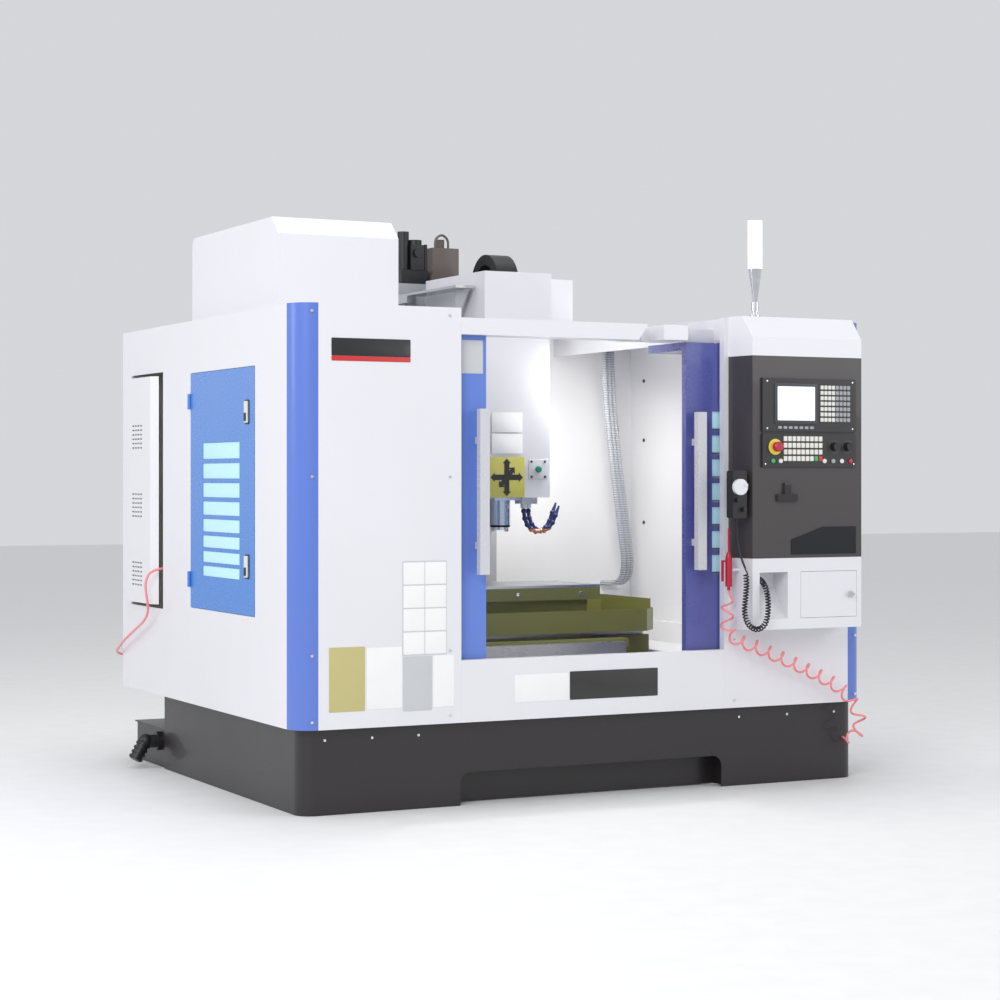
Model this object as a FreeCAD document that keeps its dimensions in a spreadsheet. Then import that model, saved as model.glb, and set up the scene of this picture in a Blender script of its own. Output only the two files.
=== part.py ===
import FreeCAD, Part
import math
import os
import re

import Sketcher

# A vertical machining centre, in millimetres. Every length below is written from the enclosure's
# front left corner at floor level: x to the right, y to the rear, z up. The finished sub-parts
# are all moved by origin_x and origin_y, which puts the part's origin under its middle.

doc = FreeCAD.newDocument("machining_centre")
sheet = doc.addObject("Spreadsheet::Sheet", "Sizes")

SIZES = {
    "origin_x": -1153.15, "origin_y": -886.5,
    # enclosure
    "full_width": 2400.0, "full_depth": 1953.0, "full_height": 1784.0, "panel_low": 301.0,
    "corner_radius": 84.0, "skin": 4.0, "fold": 32.0, "panel_gap": 2.0,
    "opening_left": 635.0, "opening_right": 1741.0, "apron_top": 524.0,
    "header_low": 1690.0, "header_top": 1750.0, "header_depth": 110.0, "header_end": 1385.0,
    "block_left": 1479.0, "block_right": 1584.0, "roof_left": 635.0, "roof_right": 1764.0,
    "wall_left": 250.0, "wall_right": 2150.0, "wall_rear": 1400.0, "wall_low": 470.0,
    # base
    "skirt_inset": 30.0, "skirt_rear": 1497.0, "skirt_radius": 60.0, "skirt_sheet": 6.0,
    "recess_left": 646.0, "recess_right": 1752.0, "recess_height": 119.0, "recess_depth": 79.0,
    "recess_radius": 40.0,
    "bed_left": 700.0, "bed_right": 1700.0, "bed_front": 150.0, "bed_rear": 1880.0,
    "bed_low": 60.0, "bed_top": 420.0, "bed_wall": 40.0, "foot_radius": 50.0,
    "tank_left": 40.0, "tank_right": 680.0, "tank_front": 1510.0, "tank_rear": 1880.0,
    "tank_low": 0.0, "tank_top": 160.0, "pump_height": 120.0,
    # axes
    "rail_width": 34.0, "rail_height": 30.0, "rail_side": 350.0,
    "middle": 1200.0, "spindle_y": 806.0, "table_y": 837.0,
    "saddle_low": 456.0, "saddle_top": 540.0, "saddle_half": 420.0,
    "saddle_front": 500.0, "saddle_rear": 1170.0,
    "table_length": 745.0, "table_width": 372.0, "table_top": 749.0, "table_thick": 60.0,
    "slot_width": 18.0, "slot_neck": 16.0, "slot_wide": 32.0, "slot_foot": 14.0, "slot_pitch": 110.0,
    "tray_half": 606.0, "tray_front": 558.0, "tray_rear": 1120.0, "tray_low": 559.0,
    "tray_rim": 650.0, "tray_high": 686.0, "tray_chamfer": 70.0,
    "screw_radius": 16.0,
    # column and head
    "column_left": 965.0, "column_right": 1435.0, "column_front": 1300.0, "column_rear": 1860.0,
    "column_top": 1985.0, "column_wall": 40.0,
    "head_left": 1057.0, "head_right": 1343.0, "head_front": 651.0, "head_low": 1098.0,
    "head_top": 1987.0, "head_split": 1760.0, "head_rear": 1150.0, "hood_rear": 1190.0,
    "screw_y": 1370.0, "chain_left": 1240.0, "chain_right": 1334.0, "chain_front": 900.0,
    "chain_rear": 1150.0, "chain_high": 2090.0, "chain_thick": 42.0,
    "hood_side": 5.0, "nose_low": 967.0, "nose_radius": 41.0,
    "magazine_left": 93.0, "magazine_right": 570.0, "magazine_front": 401.0,
    "magazine_rear": 1339.0, "magazine_top": 2130.0, "magazine_edge": 2065.0,
    "disc_y": 870.0, "disc_z": 1640.0, "disc_radius": 290.0, "disc_left": 300.0,
    "pot_radius": 34.0, "arm_x": 860.0, "arm_z": 1400.0, "arm_reach": 330.0,
    # doors
    "door_front": 40.0, "door_sheet": 30.0, "door_low": 506.0,
    "left_door_edge": 754.0, "right_door_edge": 1600.0, "door_width": 588.0, "door_roof": 250.0,
    "window_pitch": 91.0, "window_tall": 70.0, "window_low": 812.0, "window_wide": 300.0,
    "grip_low": 829.0, "grip_high": 1424.0, "grip_wide": 38.0, "grip_reach": 62.0,
    "side_door_front": 394.0, "side_door_rear": 1089.0, "side_door_low": 674.0,
    "side_door_high": 1581.0, "side_window_front": 548.0, "side_window_rear": 947.0,
    # rear cabinet
    "cabinet_front": 1426.0, "cabinet_rear": 1836.0, "cabinet_low": 640.0, "cabinet_high": 1610.0,
    "cabinet_depth": 230.0, "hatch_front": 1470.0, "hatch_rear": 1830.0, "hatch_low": 666.0,
    "hatch_high": 1585.0, "hatch_proud": 28.0,
    # console
    "console_left": 1781.0, "console_right": 2279.0, "console_front": -140.0,
    "console_low": 873.0, "console_high": 1636.0, "hood_edge": 1706.0, "hood_top": 1787.0,
    "hood_back": -77.0, "console_root": 1764.0,
    "box_low": 604.0, "nook_left": 1813.0, "nook_right": 1940.0, "nook_low": 645.0,
    "nook_high": 820.0, "locker_left": 1998.0, "locker_right": 2257.0,
    "locker_low": 644.0, "locker_high": 821.0,
    "panel_left": 1820.0, "panel_right": 2246.0, "panel_top": 1552.0, "panel_bottom": 1217.0,
    "panel_thick": 9.0, "stop_x": 1877.0, "stop_z": 1293.0, "knob_x": 2145.0, "knob_gap": 61.0,
    "knob_z": 1295.0, "knob_radius": 15.0,
    # pendant, air gun and tower
    "pendant_y": -90.0, "pendant_x": 1698.0, "pendant_low": 1024.0, "pendant_high": 1204.0,
    "gun_x": 1727.0, "gun_y": -60.0, "gun_low": 766.0, "gun_high": 896.0,
    "tower_x": 1858.0, "tower_y": -40.0, "lamp_top": 2153.0,
    "hinge_radius": 7.0, "running": 0.3,
}

for row, (alias, size) in enumerate(SIZES.items(), start=1):
    sheet.set(f"A{row}", alias)
    sheet.set(f"B{row}", str(size))
    sheet.setAlias(f"B{row}", alias)
doc.recompute()

WORDS = re.compile(r"\b(" + "|".join(sorted(SIZES, key=len, reverse=True)) + r")\b")
made = []


def size(name):
    """The value of one cell, for shapes that are worked out in this file."""
    return float(sheet.get(name))


def linked(text):
    """An expression on the sheet: each size's name becomes a reference to its cell."""
    return WORDS.sub(r"Sizes.\1", str(text))


def place(item, x, y, z):
    for axis, text in zip("xyz", (x, y, z)):
        item.setExpression(f"Placement.Base.{axis}", linked(text))


def box(x, y, z):
    """A block between two expressions along each axis."""
    item = doc.addObject("Part::Box", "block")
    for side, (low, high) in zip(("Length", "Width", "Height"), (x, y, z)):
        item.setExpression(side, linked(f"({high}) - ({low})"))
    place(item, x[0], y[0], z[0])
    return item


TURNS = {
    "x": FreeCAD.Rotation(FreeCAD.Vector(0, 1, 0), 90),
    "y": FreeCAD.Rotation(FreeCAD.Vector(1, 0, 0), -90),
    "z": FreeCAD.Rotation(),
}


def rod(axis, radius, start, length):
    """A cylinder that leaves the point start along an axis."""
    item = doc.addObject("Part::Cylinder", "rod")
    item.setExpression("Radius", linked(radius))
    item.setExpression("Height", linked(length))
    item.Placement = FreeCAD.Placement(FreeCAD.Vector(), TURNS[axis])
    place(item, *start)
    return item


def taper(axis, radius, far_radius, start, length):
    """A cone that leaves the point start along an axis."""
    item = doc.addObject("Part::Cone", "taper")
    item.setExpression("Radius1", linked(radius))
    item.setExpression("Radius2", linked(far_radius))
    item.setExpression("Height", linked(length))
    item.Placement = FreeCAD.Placement(FreeCAD.Vector(), TURNS[axis])
    place(item, *start)
    return item


def ball(radius, centre):
    item = doc.addObject("Part::Sphere", "ball")
    item.setExpression("Radius", linked(radius))
    place(item, *centre)
    return item


def fuse(*items):
    if len(items) == 1:
        return items[0]
    item = doc.addObject("Part::MultiFuse", "joined")
    item.Shapes = list(items)
    return item


def cut(base, *tools):
    item = doc.addObject("Part::Cut", "pocketed")
    item.Base = base
    item.Tool = fuse(*tools)
    return item


def common(base, tool):
    item = doc.addObject("Part::Common", "shared")
    item.Base = base
    item.Tool = tool
    return item


def group(*items):
    """Separate solids that make one sub-part."""
    item = doc.addObject("Part::Compound", "group")
    item.Links = list(items)
    return item


def value(text):
    """The number that an expression has now, for a sketch's first guess."""
    probe = doc.addObject("Part::Box", "probe")
    probe.setExpression("Placement.Base.x", linked(text))
    probe.recompute()
    result = float(probe.Placement.Base.x)
    doc.removeObject(probe.Name)
    return result


def profile(plane, points, low, high):
    """A body padded from an outline in the XY, XZ or YZ plane, between two expressions."""
    body = doc.addObject("PartDesign::Body", "profile")
    sketch = body.newObject("Sketcher::SketchObject", "outline")
    origin = next(o for o in body.Origin.OriginFeatures if o.Role == plane + "_Plane")
    sketch.AttachmentSupport = [(origin, "")]
    sketch.MapMode = "FlatFace"
    guesses = [(value(u), value(v)) for u, v in points]
    count = len(points)
    for i in range(count):
        start = FreeCAD.Vector(*guesses[i], 0)
        end = FreeCAD.Vector(*guesses[(i + 1) % count], 0)
        sketch.addGeometry(Part.LineSegment(start, end), False)
    for i in range(count):
        sketch.addConstraint(Sketcher.Constraint("Coincident", i, 2, (i + 1) % count, 1))
    for i, pair in enumerate(points):
        for kind, text, guess in zip(("DistanceX", "DistanceY"), pair, guesses[i]):
            index = sketch.addConstraint(Sketcher.Constraint(kind, -1, 1, i, 1, guess))
            sketch.setExpression(f"Constraints[{index}]", linked(text))
    pad = body.newObject("PartDesign::Pad", "pad")
    pad.Profile = sketch
    pad.setExpression("Length", linked(f"({high}) - ({low})"))
    pad.Reversed = plane == "XZ"
    offset = f"-({low})" if plane == "XZ" else low
    sketch.setExpression("AttachmentOffset.Base.z", linked(offset))
    return body


def rounded(base, radius, chosen):
    """A fillet on the edges whose middle the test accepts."""
    doc.recompute()
    item = doc.addObject("Part::Fillet", "rounded")
    item.Base = base
    edges = []
    for index, edge in enumerate(base.Shape.Edges, start=1):
        middle = edge.valueAt((edge.FirstParameter + edge.LastParameter) / 2)
        if chosen(middle, edge):
            edges.append((index, radius, radius))
    item.Edges = edges
    return item


def shaped(shape):
    """A shape that Part's own functions have made from the sheet's sizes."""
    item = doc.addObject("Part::Feature", "shaped")
    item.Shape = shape
    return item


def finish(label, item):
    """Names a sub-part and moves it from the enclosure's corner to the part's own origin."""
    item.Label = label
    engine = dict(item.ExpressionEngine)
    for axis in "xy":
        path = f"Placement.Base.{axis}"
        own = engine.get("." + path) or engine.get(path) or "0"
        item.setExpression(path, f"({own}) + Sizes.origin_{axis}")
    made.append(item)
    return item


def base_skirt():
    """Folded sheet round the front and sides, with a recess under the front."""
    left = "skirt_inset"
    right = "full_width - skirt_inset"
    outer = box((left, right), (left, "skirt_rear"), ("0", "panel_low - running"))
    radius = size("skirt_radius")
    front = size("skirt_inset")

    def front_corner(middle, edge):
        upright = abs(edge.Vertexes[0].Z - edge.Vertexes[-1].Z) > 1
        return upright and abs(middle.y - front) < 1

    outer = rounded(outer, radius, front_corner)
    hollow = box(
        (f"{left} + skirt_sheet", f"{right} - skirt_sheet"),
        (f"{left} + skirt_sheet", "skirt_rear + 10"),
        ("-10", "panel_low + 10"),
    )
    hollow = rounded(hollow, radius - size("skirt_sheet"), lambda middle, edge: (
        abs(edge.Vertexes[0].Z - edge.Vertexes[-1].Z) > 1
        and abs(middle.y - front - size("skirt_sheet")) < 1
    ))
    mouth = box(("recess_left", "recess_right"), ("0", "recess_depth"), ("-10", "recess_height"))
    mouth_top = size("recess_height")
    mouth = rounded(mouth, size("recess_radius"), lambda middle, edge: (
        abs(edge.Vertexes[0].Y - edge.Vertexes[-1].Y) > 1 and abs(middle.z - mouth_top) < 1
    ))
    back = box(
        ("recess_left - 20", "recess_right + 20"),
        ("skirt_inset + recess_depth", "skirt_inset + recess_depth + skirt_sheet"),
        ("4", "recess_height + 30"),
    )
    ledge = box(
        ("recess_left - 20", "recess_right + 20"),
        ("skirt_inset + skirt_sheet / 2", "skirt_inset + recess_depth + skirt_sheet"),
        ("recess_height + 24", "recess_height + 30"),
    )
    cheeks = [
        box(
            (x, f"{x} + skirt_sheet"),
            ("skirt_inset + skirt_sheet / 2", "skirt_inset + recess_depth + skirt_sheet"),
            ("4", "recess_height + 30"),
        )
        for x in ("recess_left - 20", "recess_right + 14")
    ]
    return finish("base_skirt", fuse(cut(outer, hollow, mouth), back, ledge, *cheeks))


def bed_casting():
    """Cast bed, hollow from below, with four levelling feet and two raised ways."""
    body = box(("bed_left", "bed_right"), ("bed_front", "bed_rear"), ("bed_low", "bed_top"))
    hollow = box(
        ("bed_left + bed_wall", "bed_right - bed_wall"),
        ("bed_front + bed_wall", "bed_rear - bed_wall"),
        ("bed_low - 5", "bed_top - bed_wall"),
    )
    rib = box(
        ("middle - bed_wall / 2", "middle + bed_wall / 2"),
        ("bed_front + 5", "bed_rear - 5"),
        ("bed_low", "bed_top - 5"),
    )
    feet = [
        rod("z", "foot_radius", (x, y, "0"), "bed_low + 5")
        for x in ("bed_left + foot_radius", "bed_right - foot_radius")
        for y in ("bed_front + foot_radius", "bed_rear - foot_radius")
    ]
    toe = box(
        ("tank_left + 60", "bed_left + 5"),
        ("skirt_rear + 90", "skirt_rear + 150"),
        ("tank_top + 20", "panel_low - 8"),
    )
    return finish("bed_casting", fuse(cut(body, hollow), rib, toe, *feet))


def coolant_tank():
    """Open-topped tank at the left rear with a lid and a pump on it."""
    outer = box(("tank_left", "tank_right"), ("tank_front", "tank_rear"), ("tank_low", "tank_top"))
    inner = box(
        ("tank_left + 5", "tank_right - 5"),
        ("tank_front + 5", "tank_rear - 5"),
        ("tank_low + 5", "tank_top - 5"),
    )
    flange = box(
        ("tank_left - 8", "tank_right + 8"),
        ("skirt_rear + running", "tank_rear + 8"),
        ("tank_top - 5", "tank_top"),
    )
    pump = rod("z", "55", ("tank_left + 450", "tank_front + 250", "tank_top - 1"), "pump_height")
    return finish("coolant_tank", fuse(cut(outer, inner), flange, pump))


def drain_spout():
    """Ribbed elbow that leaves the tank's left wall and hangs down to the floor."""
    ribs = []
    arm = rod("x", "26", ("tank_left - 70", "tank_front + 70", "104"), "70")
    collar = rod("x", "38", ("tank_left - 20", "tank_front + 70", "104"), "19.7")
    reach = 92.0
    start = FreeCAD.Vector(size("tank_left") - 62, size("tank_front") + 70, 112.0)
    lean = FreeCAD.Vector(-0.62, -0.12, -1.0).normalize()
    leg = Part.makeCylinder(25, reach, start, lean)
    for i in range(4):
        ribs.append(Part.makeCylinder(30, 8, start + lean * (20 + 20 * i), lean))
    leg = leg.multiFuse(ribs)
    return finish("drain_spout", fuse(arm, collar, ball("30", (
        "tank_left - 64", "tank_front + 70", "106")), shaped(leg)))


def guide_rails():
    """Two rails along the bed for the saddle and two up the column for the head."""
    bed = [
        box(
            (x, f"{x} + rail_width"),
            ("bed_front + 60", "column_front - 40"),
            ("bed_top", "bed_top + rail_height"),
        )
        for x in ("middle - rail_side - rail_width / 2", "middle + rail_side - rail_width / 2")
    ]
    upright = [
        box(
            (x, f"{x} + rail_width"),
            ("column_front - rail_height", "column_front"),
            ("column_top - 1060", "column_top - 40"),
        )
        for x in ("middle - 175 - rail_width / 2", "middle + 175 - rail_width / 2")
    ]
    return finish("guide_rails", group(*bed, *upright))


# axes ---------------------------------------------------------------


def saddle():
    """Cross slide: carries blocks on the bed's rails and the rails of the table."""
    plate = box(
        ("middle - saddle_half", "middle + saddle_half"),
        ("saddle_front", "saddle_rear - 120"),
        ("saddle_low", "saddle_top"),
    )
    blocks = []
    for x in ("middle - rail_side - 40", "middle + rail_side - 40"):
        for y in ("saddle_front + 20", "saddle_rear - 260"):
            blocks.append(box((x, f"{x} + 80"), (y, f"{y} + 120"), ("bed_top + 6", "saddle_low + 5")))
    grooves = [
        box(
            (f"{x} - rail_width / 2 - running", f"{x} + rail_width / 2 + running"),
            ("saddle_front - 5", "saddle_rear"),
            ("bed_top", "bed_top + rail_height + running"),
        )
        for x in ("middle - rail_side", "middle + rail_side")
    ]
    nut = box(
        ("middle - 40", "middle + 40"), ("table_y - 60", "table_y + 60"),
        ("bed_top + 2", "saddle_low + 5"),
    )
    nut_bore = rod("y", "screw_radius + running", (
        "middle", "saddle_front - 10", "bed_top + 24"), "saddle_rear - saddle_front")
    trough = box(
        ("middle - saddle_half - 5", "middle + saddle_half + 5"),
        ("table_y - 36", "table_y + 36"),
        ("saddle_top - 50", "saddle_top + 5"),
    )
    stands = [
        box((x, f"{x} + 30"), ("table_y - 35", "table_y + 35"), ("saddle_top - 51", "saddle_top"))
        for x in ("middle - saddle_half", "middle + saddle_half - 30")
    ]
    screw_bores = rod("x", "screw_radius + running", (
        "middle - saddle_half - 10", "table_y", "saddle_top - 24"), "2 * saddle_half + 20")
    wings = [
        box((x, f"{x} + 190"), ("saddle_front + 160", "saddle_front + 510"), ("saddle_low + 4", "saddle_top"))
        for x in ("middle - saddle_half - 185", "middle + saddle_half - 5")
    ]
    motor = box(
        ("middle + saddle_half - 1", "middle + saddle_half + 150"),
        ("table_y - 55", "table_y + 55"),
        ("saddle_top - 88", "saddle_top + 8"),
    )
    body = cut(fuse(plate, *blocks, nut), *grooves, nut_bore, trough)
    body = cut(fuse(body, *stands, *wings), screw_bores)
    return finish("saddle", fuse(body, motor))


def x_rails():
    rails = [
        box(
            ("middle - saddle_half - 180", "middle + saddle_half + 180"),
            (y, f"{y} + rail_width"),
            ("saddle_top", "saddle_top + rail_height - 12"),
        )
        for y in ("saddle_front + 200", "table_y + 120")
    ]
    return finish("x_rails", group(*rails))


def work_table():
    """T-slotted table with three slots, on a narrower foot that rides the rails."""
    top = box(
        ("middle - table_length / 2", "middle + table_length / 2"),
        ("table_y - table_width / 2", "table_y + table_width / 2"),
        ("table_top - table_thick", "table_top"),
    )
    slots = []
    for y in ("table_y - slot_pitch", "table_y", "table_y + slot_pitch"):
        slots.append(box(
            ("middle - table_length / 2 - 5", "middle + table_length / 2 + 5"),
            (f"{y} - slot_width / 2", f"{y} + slot_width / 2"),
            ("table_top - slot_neck - slot_foot", "table_top + 5"),
        ))
        slots.append(box(
            ("middle - table_length / 2 - 5", "middle + table_length / 2 + 5"),
            (f"{y} - slot_wide / 2", f"{y} + slot_wide / 2"),
            ("table_top - slot_neck - slot_foot", "table_top - slot_neck"),
        ))
    foot = box(
        ("middle - table_length / 2 + 40", "middle + table_length / 2 - 40"),
        ("table_y - 150", "table_y + 165"),
        ("saddle_top + rail_height - 11", "table_top - table_thick + 5"),
    )
    pads = [
        box(
            ("middle - table_length / 2 + 40", "middle + table_length / 2 - 40"),
            (f"{y} - 20", f"{y} + rail_width + 20"),
            ("saddle_top + rail_height - 12 + running", "tray_low + 20"),
        )
        for y in ("saddle_front + 200", "table_y + 120")
    ]
    nut = box(("middle - 50", "middle + 50"), ("table_y - 30", "table_y + 30"),
              ("saddle_top - 47", "saddle_top + 40"))
    bore = rod("x", "screw_radius + running", ("middle - 60", "table_y", "saddle_top - 24"), "120")
    return finish("work_table", cut(fuse(top, foot, *pads, nut), *slots, bore))


def table_tray():
    """Gutter round the table: low front wall, higher end and rear walls, cut corners."""
    corner = "tray_chamfer"
    left = "middle - tray_half"
    right = "middle + tray_half"

    def ring(grow, low, high):
        return profile("XY", [
            (f"{left} + {corner}", f"tray_front + {grow}"),
            (f"{right} - {corner}", f"tray_front + {grow}"),
            (f"{right} - {grow}", f"tray_front + {corner}"),
            (f"{right} - {grow}", f"tray_rear - {corner}"),
            (f"{right} - {corner}", f"tray_rear - {grow}"),
            (f"{left} + {corner}", f"tray_rear - {grow}"),
            (f"{left} + {grow}", f"tray_rear - {corner}"),
            (f"{left} + {grow}", f"tray_front + {corner}"),
        ], low, high)

    outer = ring("0", "tray_low + 3", "tray_high")
    inner = ring("4", "tray_low + 7", "tray_high + 5")
    step = box(
        (f"{left} - 5", f"{right} + 5"), ("tray_front - 5", "tray_front + 90"),
        ("tray_rim", "tray_high + 10"),
    )
    hole = box(
        ("middle - table_length / 2 + 40 - running", "middle + table_length / 2 - 40 + running"),
        ("table_y - 190", "table_y + 190"),
        ("tray_low - 5", "tray_low + 12"),
    )
    return finish("table_tray", cut(outer, inner, step, hole))


def y_screw():
    shaft = rod("y", "screw_radius", ("middle", "bed_front + 20", "bed_top + 24"), "1000")
    drum = rod("y", "20", ("middle", "bed_front - 25", "bed_top + 24"), "50")
    return finish("y_screw", fuse(shaft, drum))


def x_screw():
    shaft = rod("x", "screw_radius", ("middle - saddle_half - 2", "table_y", "saddle_top - 24"),
                "2 * saddle_half")
    return finish("x_screw", shaft)


def saddle_cover():
    """Telescopic sheet in front of the saddle, over the front of the ways."""
    roof = box(
        ("middle - 385", "middle + 385"), ("saddle_front - 35", "saddle_front - running"),
        ("saddle_top - 14", "saddle_top - 10"),
    )
    face = box(
        ("middle - 385", "middle + 385"), ("saddle_front - 35", "saddle_front - 31"),
        ("wall_low + 8", "saddle_top - 10"),
    )
    return finish("saddle_cover", fuse(roof, face))


# column and head ----------------------------------------------------


def column_casting():
    """Hollow upright, slotted in front for the screw nut, with the magazine's gear box."""
    body = box(("column_left", "column_right"), ("column_front", "column_rear"),
               ("bed_top", "column_top"))
    hollow = box(
        ("column_left + column_wall", "column_right - column_wall"),
        ("column_front + column_wall", "column_rear + 5"),
        ("bed_top + column_wall", "column_top - column_wall"),
    )
    slot = box(
        ("middle - 50", "middle + 50"), ("column_front - 5", "column_front + column_wall + 5"),
        ("column_top - 1060", "column_top - 30"),
    )
    passage = rod("z", "screw_radius + 4", ("middle", "screw_y", "column_top - 60"), "80")
    seat = box(("middle - 60", "middle + 60"), ("screw_y - 60", "screw_y + 60"),
               ("column_top - 1110", "column_top - 1062"))
    seat_bridge = box(("column_left + 20", "column_right - 20"), ("screw_y - 40", "screw_y + 40"),
                      ("column_top - 1110", "column_top - 1080"))
    arm = box(("column_left - 60", "column_left + 5"), ("disc_y - 60", "column_front + 200"),
              ("disc_z - 60", "disc_z + 60"))
    gear_box = box(("arm_x - 70", "column_left + 5"), ("disc_y - 70", "disc_y + 70"),
                   ("disc_z - 190", "disc_z + 80"))
    perch = box(("chain_left + 10", "chain_right - 10"), ("chain_rear + running", "column_front + 5"),
                ("column_top - 25", "column_top - 13"))
    return finish("column_casting", fuse(
        cut(body, hollow, slot, passage), seat, seat_bridge, arm, gear_box, perch))


def z_screw():
    shaft = rod("z", "screw_radius", ("middle", "screw_y", "column_top - 1061"), "1058")
    return finish("z_screw", shaft)


def z_motor():
    """Belt-free servo on the column's top, with its plug and conduit bow."""
    flange = box(("middle - 70", "middle + 70"), ("screw_y - 70", "screw_y + 70"),
                 ("column_top", "column_top + 38"))
    case = box(("middle - 61", "middle + 61"), ("screw_y - 61", "screw_y + 61"),
               ("column_top + 37", "column_top + 156"))
    plug = box(("middle - 20", "middle + 10"), ("screw_y - 25", "screw_y + 5"),
               ("column_top + 155", "column_top + 195"))
    x = size("middle") - 10
    y = size("screw_y") - 42
    top = size("column_top") + 155
    bow = tube([(x - 30, y, top), (x - 30, y, top + 40), (x, y, top + 62),
                (x + 30, y, top + 40), (x + 30, y, top)], 5.0)
    return finish("z_motor", fuse(flange, case, plug, shaped(bow)))


def air_unit():
    """Filter and regulator block with a gauge, two bowls and a bright pipe."""
    x = "column_left + 95"
    y = "column_front + 45"
    base = box((f"{x} - 62", f"{x} + 62"), (f"{y} - 30", f"{y} + 40"), ("column_top", "column_top + 60"))
    block = box((f"{x} - 20", f"{x} + 42"), (f"{y} - 34", f"{y} + 34"),
                ("column_top + 59", "column_top + 165"))
    bowl = rod("z", "24", (f"{x} - 40", y, "column_top + 59"), "160")
    cap = rod("z", "30", (f"{x} + 12", y, "column_top + 164"), "22")
    gauge = rod("y", "18", (f"{x} + 10", f"{y} - 46", "column_top + 130"), "14")
    pipe = rod("z", "7", (f"{x} + 54", f"{y} - 20", "column_top + 58"), "110")
    return finish("air_unit", fuse(base, block, bowl, cap, gauge, pipe))


def shelf_bracket():
    """Bent plate on the column's front, beside the head, with a web under its end."""
    plate = box(("head_left - 95", "head_left - 14"), ("head_front + 70", "hood_rear"),
                ("column_top - 62", "column_top - 52"))
    neck = box(("head_left - 95", "head_left - 79"), ("hood_rear - 10", "column_front"),
               ("column_top - 90", "column_top - 52"))
    web = profile("YZ", [
        ("head_front + 80", "column_top - 60"), ("head_front + 200", "column_top - 60"),
        ("head_front + 200", "column_top - 210"),
    ], "head_left - 34", "head_left - 28")
    return finish("shelf_bracket", fuse(plate, neck, web))


def cable_chain():
    """Energy chain bent over the top, with a leg down to the head and one to the column."""
    radius = "(chain_rear - chain_front) / 2"
    centre = ("chain_left", "(chain_front + chain_rear) / 2", f"chain_high - {radius}")
    bend = cut(
        rod("x", radius, centre, "chain_right - chain_left"),
        rod("x", f"{radius} - chain_thick", ("chain_left - 5", centre[1], centre[2]),
            "chain_right - chain_left + 10"),
        box(("chain_left - 5", "chain_right + 5"), ("chain_front - 5", "chain_rear + 5"),
            (f"{centre[2]} - 300", centre[2])),
    )
    legs = [
        box(("chain_left", "chain_right"), (y, f"{y} + chain_thick"), ("head_top - 240", centre[2]))
        for y in ("chain_front", "chain_rear - chain_thick")
    ]
    return finish("cable_chain", fuse(bend, *legs))


def head_casting():
    """Spindle head: carries blocks on the column rails and the nut of the vertical screw."""
    body = box(("head_left + 16", "head_right - 16"), ("head_front + 30", "column_front - 40"),
               ("head_low + 14", "head_split - 20"))
    blocks = []
    for x in ("middle - 175", "middle + 175"):
        for z in ("head_low + 60", "head_split - 220"):
            blocks.append(box((f"{x} - 42", f"{x} + 42"), ("column_front - 60", "column_front - 6"),
                              (z, f"{z} + 150")))
    carrier = box(("middle - 217", "middle + 217"), ("column_front - 100", "column_front - 55"),
                  ("head_low + 60", "head_split - 70"))
    nut = box(("middle - 42", "middle + 42"), ("column_front - 60", "screw_y + 42"),
              ("head_split - 330", "head_split - 230"))
    grooves = [
        box((f"{x} - rail_width / 2 - running", f"{x} + rail_width / 2 + running"),
            ("column_front - rail_height - running", "column_front + 5"),
            ("head_low", "head_split"))
        for x in ("middle - 175", "middle + 175")
    ]
    bore = rod("z", "screw_radius + running", ("middle", "screw_y", "head_split - 350"), "140")
    quill = rod("z", "50", ("middle", "spindle_y", "head_low"), "head_split - head_low")
    pocket = box(("chain_left - 12", "chain_right + 12"), ("chain_front - 12", "column_front - 30"),
                 ("head_split - 230", "head_split"))
    pocket_side = box(("chain_left - 12", "chain_right + 12"), ("column_front - 105", "column_front"),
                      ("head_split - 230", "head_split"))
    motor = box(("middle - 95", "middle + 20"), ("spindle_y - 95", "spindle_y + 75"),
                ("head_split - 25", "head_top - 30"))
    casting = cut(fuse(body, *blocks, carrier, nut), *grooves, bore, quill, pocket, pocket_side)
    return finish("head_casting", fuse(casting, motor))


def head_cover():
    """Sheet casing round the head, wider and deeper above the split."""
    lower = cut(
        box(("head_left", "head_right"), ("head_front", "head_rear"), ("head_low", "head_split + 5")),
        box(("head_left + skin", "head_right - skin"), ("head_front + skin", "head_rear + 5"),
            ("head_low + skin", "head_split + 10")),
        rod("z", "56", ("middle", "spindle_y", "head_low - 5"), "20"),
        box(("head_left + 14", "head_right - 14"), ("spindle_y + 90", "head_rear + 5"),
            ("head_low - 5", "head_low + 10")),
    )
    upper = cut(
        box(("head_left - hood_side", "head_right + hood_side"), ("head_front - 4", "hood_rear"),
            ("head_split", "head_top")),
        box(("head_left", "head_right"), ("head_front", "hood_rear + 5"),
            ("head_split - 5", "head_top - skin")),
        box(("chain_left - 12", "head_right"), ("chain_front - 12", "hood_rear + 5"),
            ("head_top - 20", "head_top + 5")),
    )
    return finish("head_cover", fuse(lower, upper))


def spindle_cartridge():
    """Bolted nose housing that holds the spindle's bearings."""
    flange = rod("z", "49.5", ("middle", "spindle_y", "head_low - 12"), "420")
    nose = rod("z", "nose_radius", ("middle", "spindle_y", "nose_low + 12"), "130")
    plate = box(("middle - 62", "middle + 62"), ("spindle_y - 75", "spindle_y + 62"),
                ("head_low - 12", "head_low - running"))
    bore = rod("z", "30.05", ("middle", "spindle_y", "nose_low - 5"), "600")
    return finish("spindle_cartridge", cut(fuse(flange, nose, plate), bore))


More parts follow.
